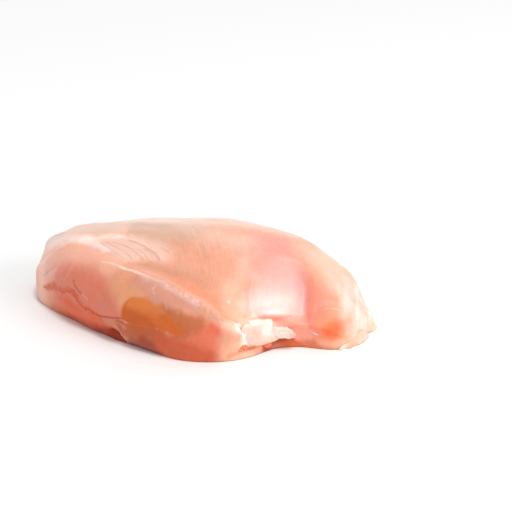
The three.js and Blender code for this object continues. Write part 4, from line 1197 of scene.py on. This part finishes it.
# Torn coral ends of meat and membrane at the foot below the tab, in the same form without spots
SHREDS = {
    "shred_corner": (
        [(13.8, 3.8), (14.8, 4.9), (16.4, 5.3), (17.6, 4.6), (19.6, 3.7), (22.8, 3.6), (21.6, 2.9),
         (18.6, 2.7), (16.6, 2.9), (15, 2.9)],
        (54.2, -0.75), 0.6, 2.4, 0.2, 1.3, 41, "#e8845e"),
    "shred_drop": (
        [(23, 2.9), (24.5, 1.5), (26.1, 1.8), (26.5, 3), (24.9, 3.6), (23.4, 3.7)],
        (49, -0.2), 1.0, 1.2, 0.15, 1.8, 45, "#e87c54"),
}
for name, (*shape, colour) in SHREDS.items():
    tinted_piece(name, pad(*shape, rows=40, steps=12), colour, [], membrane)

# A short pale thread of tissue on the front of the lobe: route, half width at each of its points, colour
THREAD_ROUTE = [(62.2, 0, 7.7), (63.6, 0.1, 7), (64.8, 0.3, 6.8), (66.2, 0.8, 6.8)]
THREAD_WIDTHS = [0.05, 0.11, 0.24, 0.08]
THREAD_COLOUR = "#fbe4d6"
tinted_piece("thread", thread_rows(THREAD_ROUTE, THREAD_WIDTHS), THREAD_COLOUR, [], fat)

# Loose film at the back and the foot of the lobe: route in plan, then from end to end the height of its
# top and its foot, how far it is tucked into the meat and how far it flares, then its folds and their
# length, thickness, seed, colour and the spots on it.
FILM_ENDS = {
    "film_at_the_heel": (
        [(54, 39.5), (58.5, 36.5), (62.2, 32.5), (65.5, 28.5), (69, 24)],
        (4, 9, 11, 9.5, 6), (1, 0.3, 0, 0, 0), (1.4, 3, 4, 3, 1.4), (0.1, 1.8, 3.4, 1.6, 0.2),
        0.5, 5.5, 0.6, 51, "#f0c2a6", [
            ("#f4e4bc", 0.8, (69.5, 1.5), (1.6, 5)),
            ("#fbe4d5", 0.7, (66, 6), (1.2, 3)),
            ("#f4cdb8", 0.8, (63, 9), (1.6, 3))]),
    "film_at_the_foot": (
        [(69.2, 25), (71, 19.5), (71.6, 13.5), (70.6, 7)],
        (4, 5, 4, 2), (0, 0, 0, 0), (0.8, 1.2, 1.2, 0.8), (0.2, 0.7, 1.0, 0.3),
        0.35, 3.0, 0.8, 61, "#efaa88", [
            ("#f9dccb", 0.6, (63, 2), (4, 3)),
            ("#fdeade", 0.85, (54.6, 1.5), (1.6, 3))]),
}
for name, (*shape, colour, spots) in FILM_ENDS.items():
    tinted_piece(name, skirt(*shape), colour, spots, membrane)

# The floor, far larger than the meat, so that it fills the picture up to the top: half its side in metres
FLOOR_HALF = 8.0
floor_mesh = bpy.data.meshes.new("floor")
floor_corners = [(x * FLOOR_HALF, y * FLOOR_HALF, 0) for x, y in ((-1, -1), (1, -1), (1, 1), (-1, 1))]
floor_mesh.from_pydata(floor_corners, [], [(0, 1, 2, 3)])
floor = bpy.data.objects.new("floor", floor_mesh)
bpy.context.scene.collection.objects.link(floor)
floor_mesh.materials.append(matt_paper())

# Two soft lamps: direction from the meat, distance, width and height in metres, power in watts
SOFTBOXES = {
    "overhead softbox": ((0.3, -0.08, 0.95), 4.4, 1.25, 1.25, 84),
    "right softbox": ((0.85, 0.25, 0.42), 4.4, 2.4, 1.8, 72),
}
# The place that they face, in metres
LIT_PLACE = (0, 0, 0.02)
# The strength of the even white light from all round
ROOM_LIGHT = 0.7


def softbox(name, direction, distance, width, height, power):
    """A white rectangular lamp at a distance from LIT_PLACE, facing it."""
    lamp = bpy.data.lights.new(name, "AREA")
    lamp.shape = "RECTANGLE"
    lamp.size = width
    lamp.size_y = height
    lamp.energy = power
    holder = bpy.data.objects.new(name, lamp)
    towards = Vector(direction).normalized()
    holder.location = Vector(LIT_PLACE) + towards * distance
    holder.rotation_mode = "QUATERNION"
    holder.rotation_quaternion = (-towards).to_track_quat("-Z", "Y")
    bpy.context.scene.collection.objects.link(holder)


for name, settings in SOFTBOXES.items():
    softbox(name, *settings)

world = bpy.data.worlds.new("white room")
world.use_nodes = True
background = world.node_tree.nodes["Background"]
background.inputs["Color"].default_value = opaque("#ffffff")
background.inputs["Strength"].default_value = ROOM_LIGHT
bpy.context.scene.world = world
bpy.context.scene.view_settings.view_transform = "Standard"

# The camera looks from the keel side of the front end, moved aside so that the meat stands left of
# the middle and below it. TARGET shows at TARGET_PIXEL of the 512 by 512 picture.
IMAGE_SIZE = 512
LENS = 100.0
SENSOR = 36.0
CAMERA_TURN, CAMERA_RISE = np.radians(48), np.radians(20)
CAMERA_DISTANCE = 570
TARGET = np.array([16, -13, 14.25])
TARGET_PIXEL = (207, 290)

back = np.array([
    np.sin(CAMERA_TURN) * np.cos(CAMERA_RISE),
    -np.cos(CAMERA_TURN) * np.cos(CAMERA_RISE),
    np.sin(CAMERA_RISE),
])
right = np.cross(-back, (0, 0, 1))
right /= np.linalg.norm(right)
upward = np.cross(right, -back)
pixels_per_unit = LENS / SENSOR * IMAGE_SIZE
aside = (TARGET_PIXEL[0] - IMAGE_SIZE / 2) / pixels_per_unit * CAMERA_DISTANCE
below = (TARGET_PIXEL[1] - IMAGE_SIZE / 2) / pixels_per_unit * CAMERA_DISTANCE
eye = TARGET + back * CAMERA_DISTANCE - right * aside + upward * below

camera_data = bpy.data.cameras.new("camera")
camera_data.lens = LENS
camera_data.sensor_width = SENSOR
camera_data.clip_start = 0.01
camera_data.clip_end = 20
camera = bpy.data.objects.new("camera", camera_data)
camera.location = Vector((eye - BOX_MIDDLE) * MM)
camera.rotation_mode = "QUATERNION"
camera.rotation_quaternion = Vector(-back).to_track_quat("-Z", "Y")
bpy.context.scene.collection.objects.link(camera)
bpy.context.scene.camera = camera
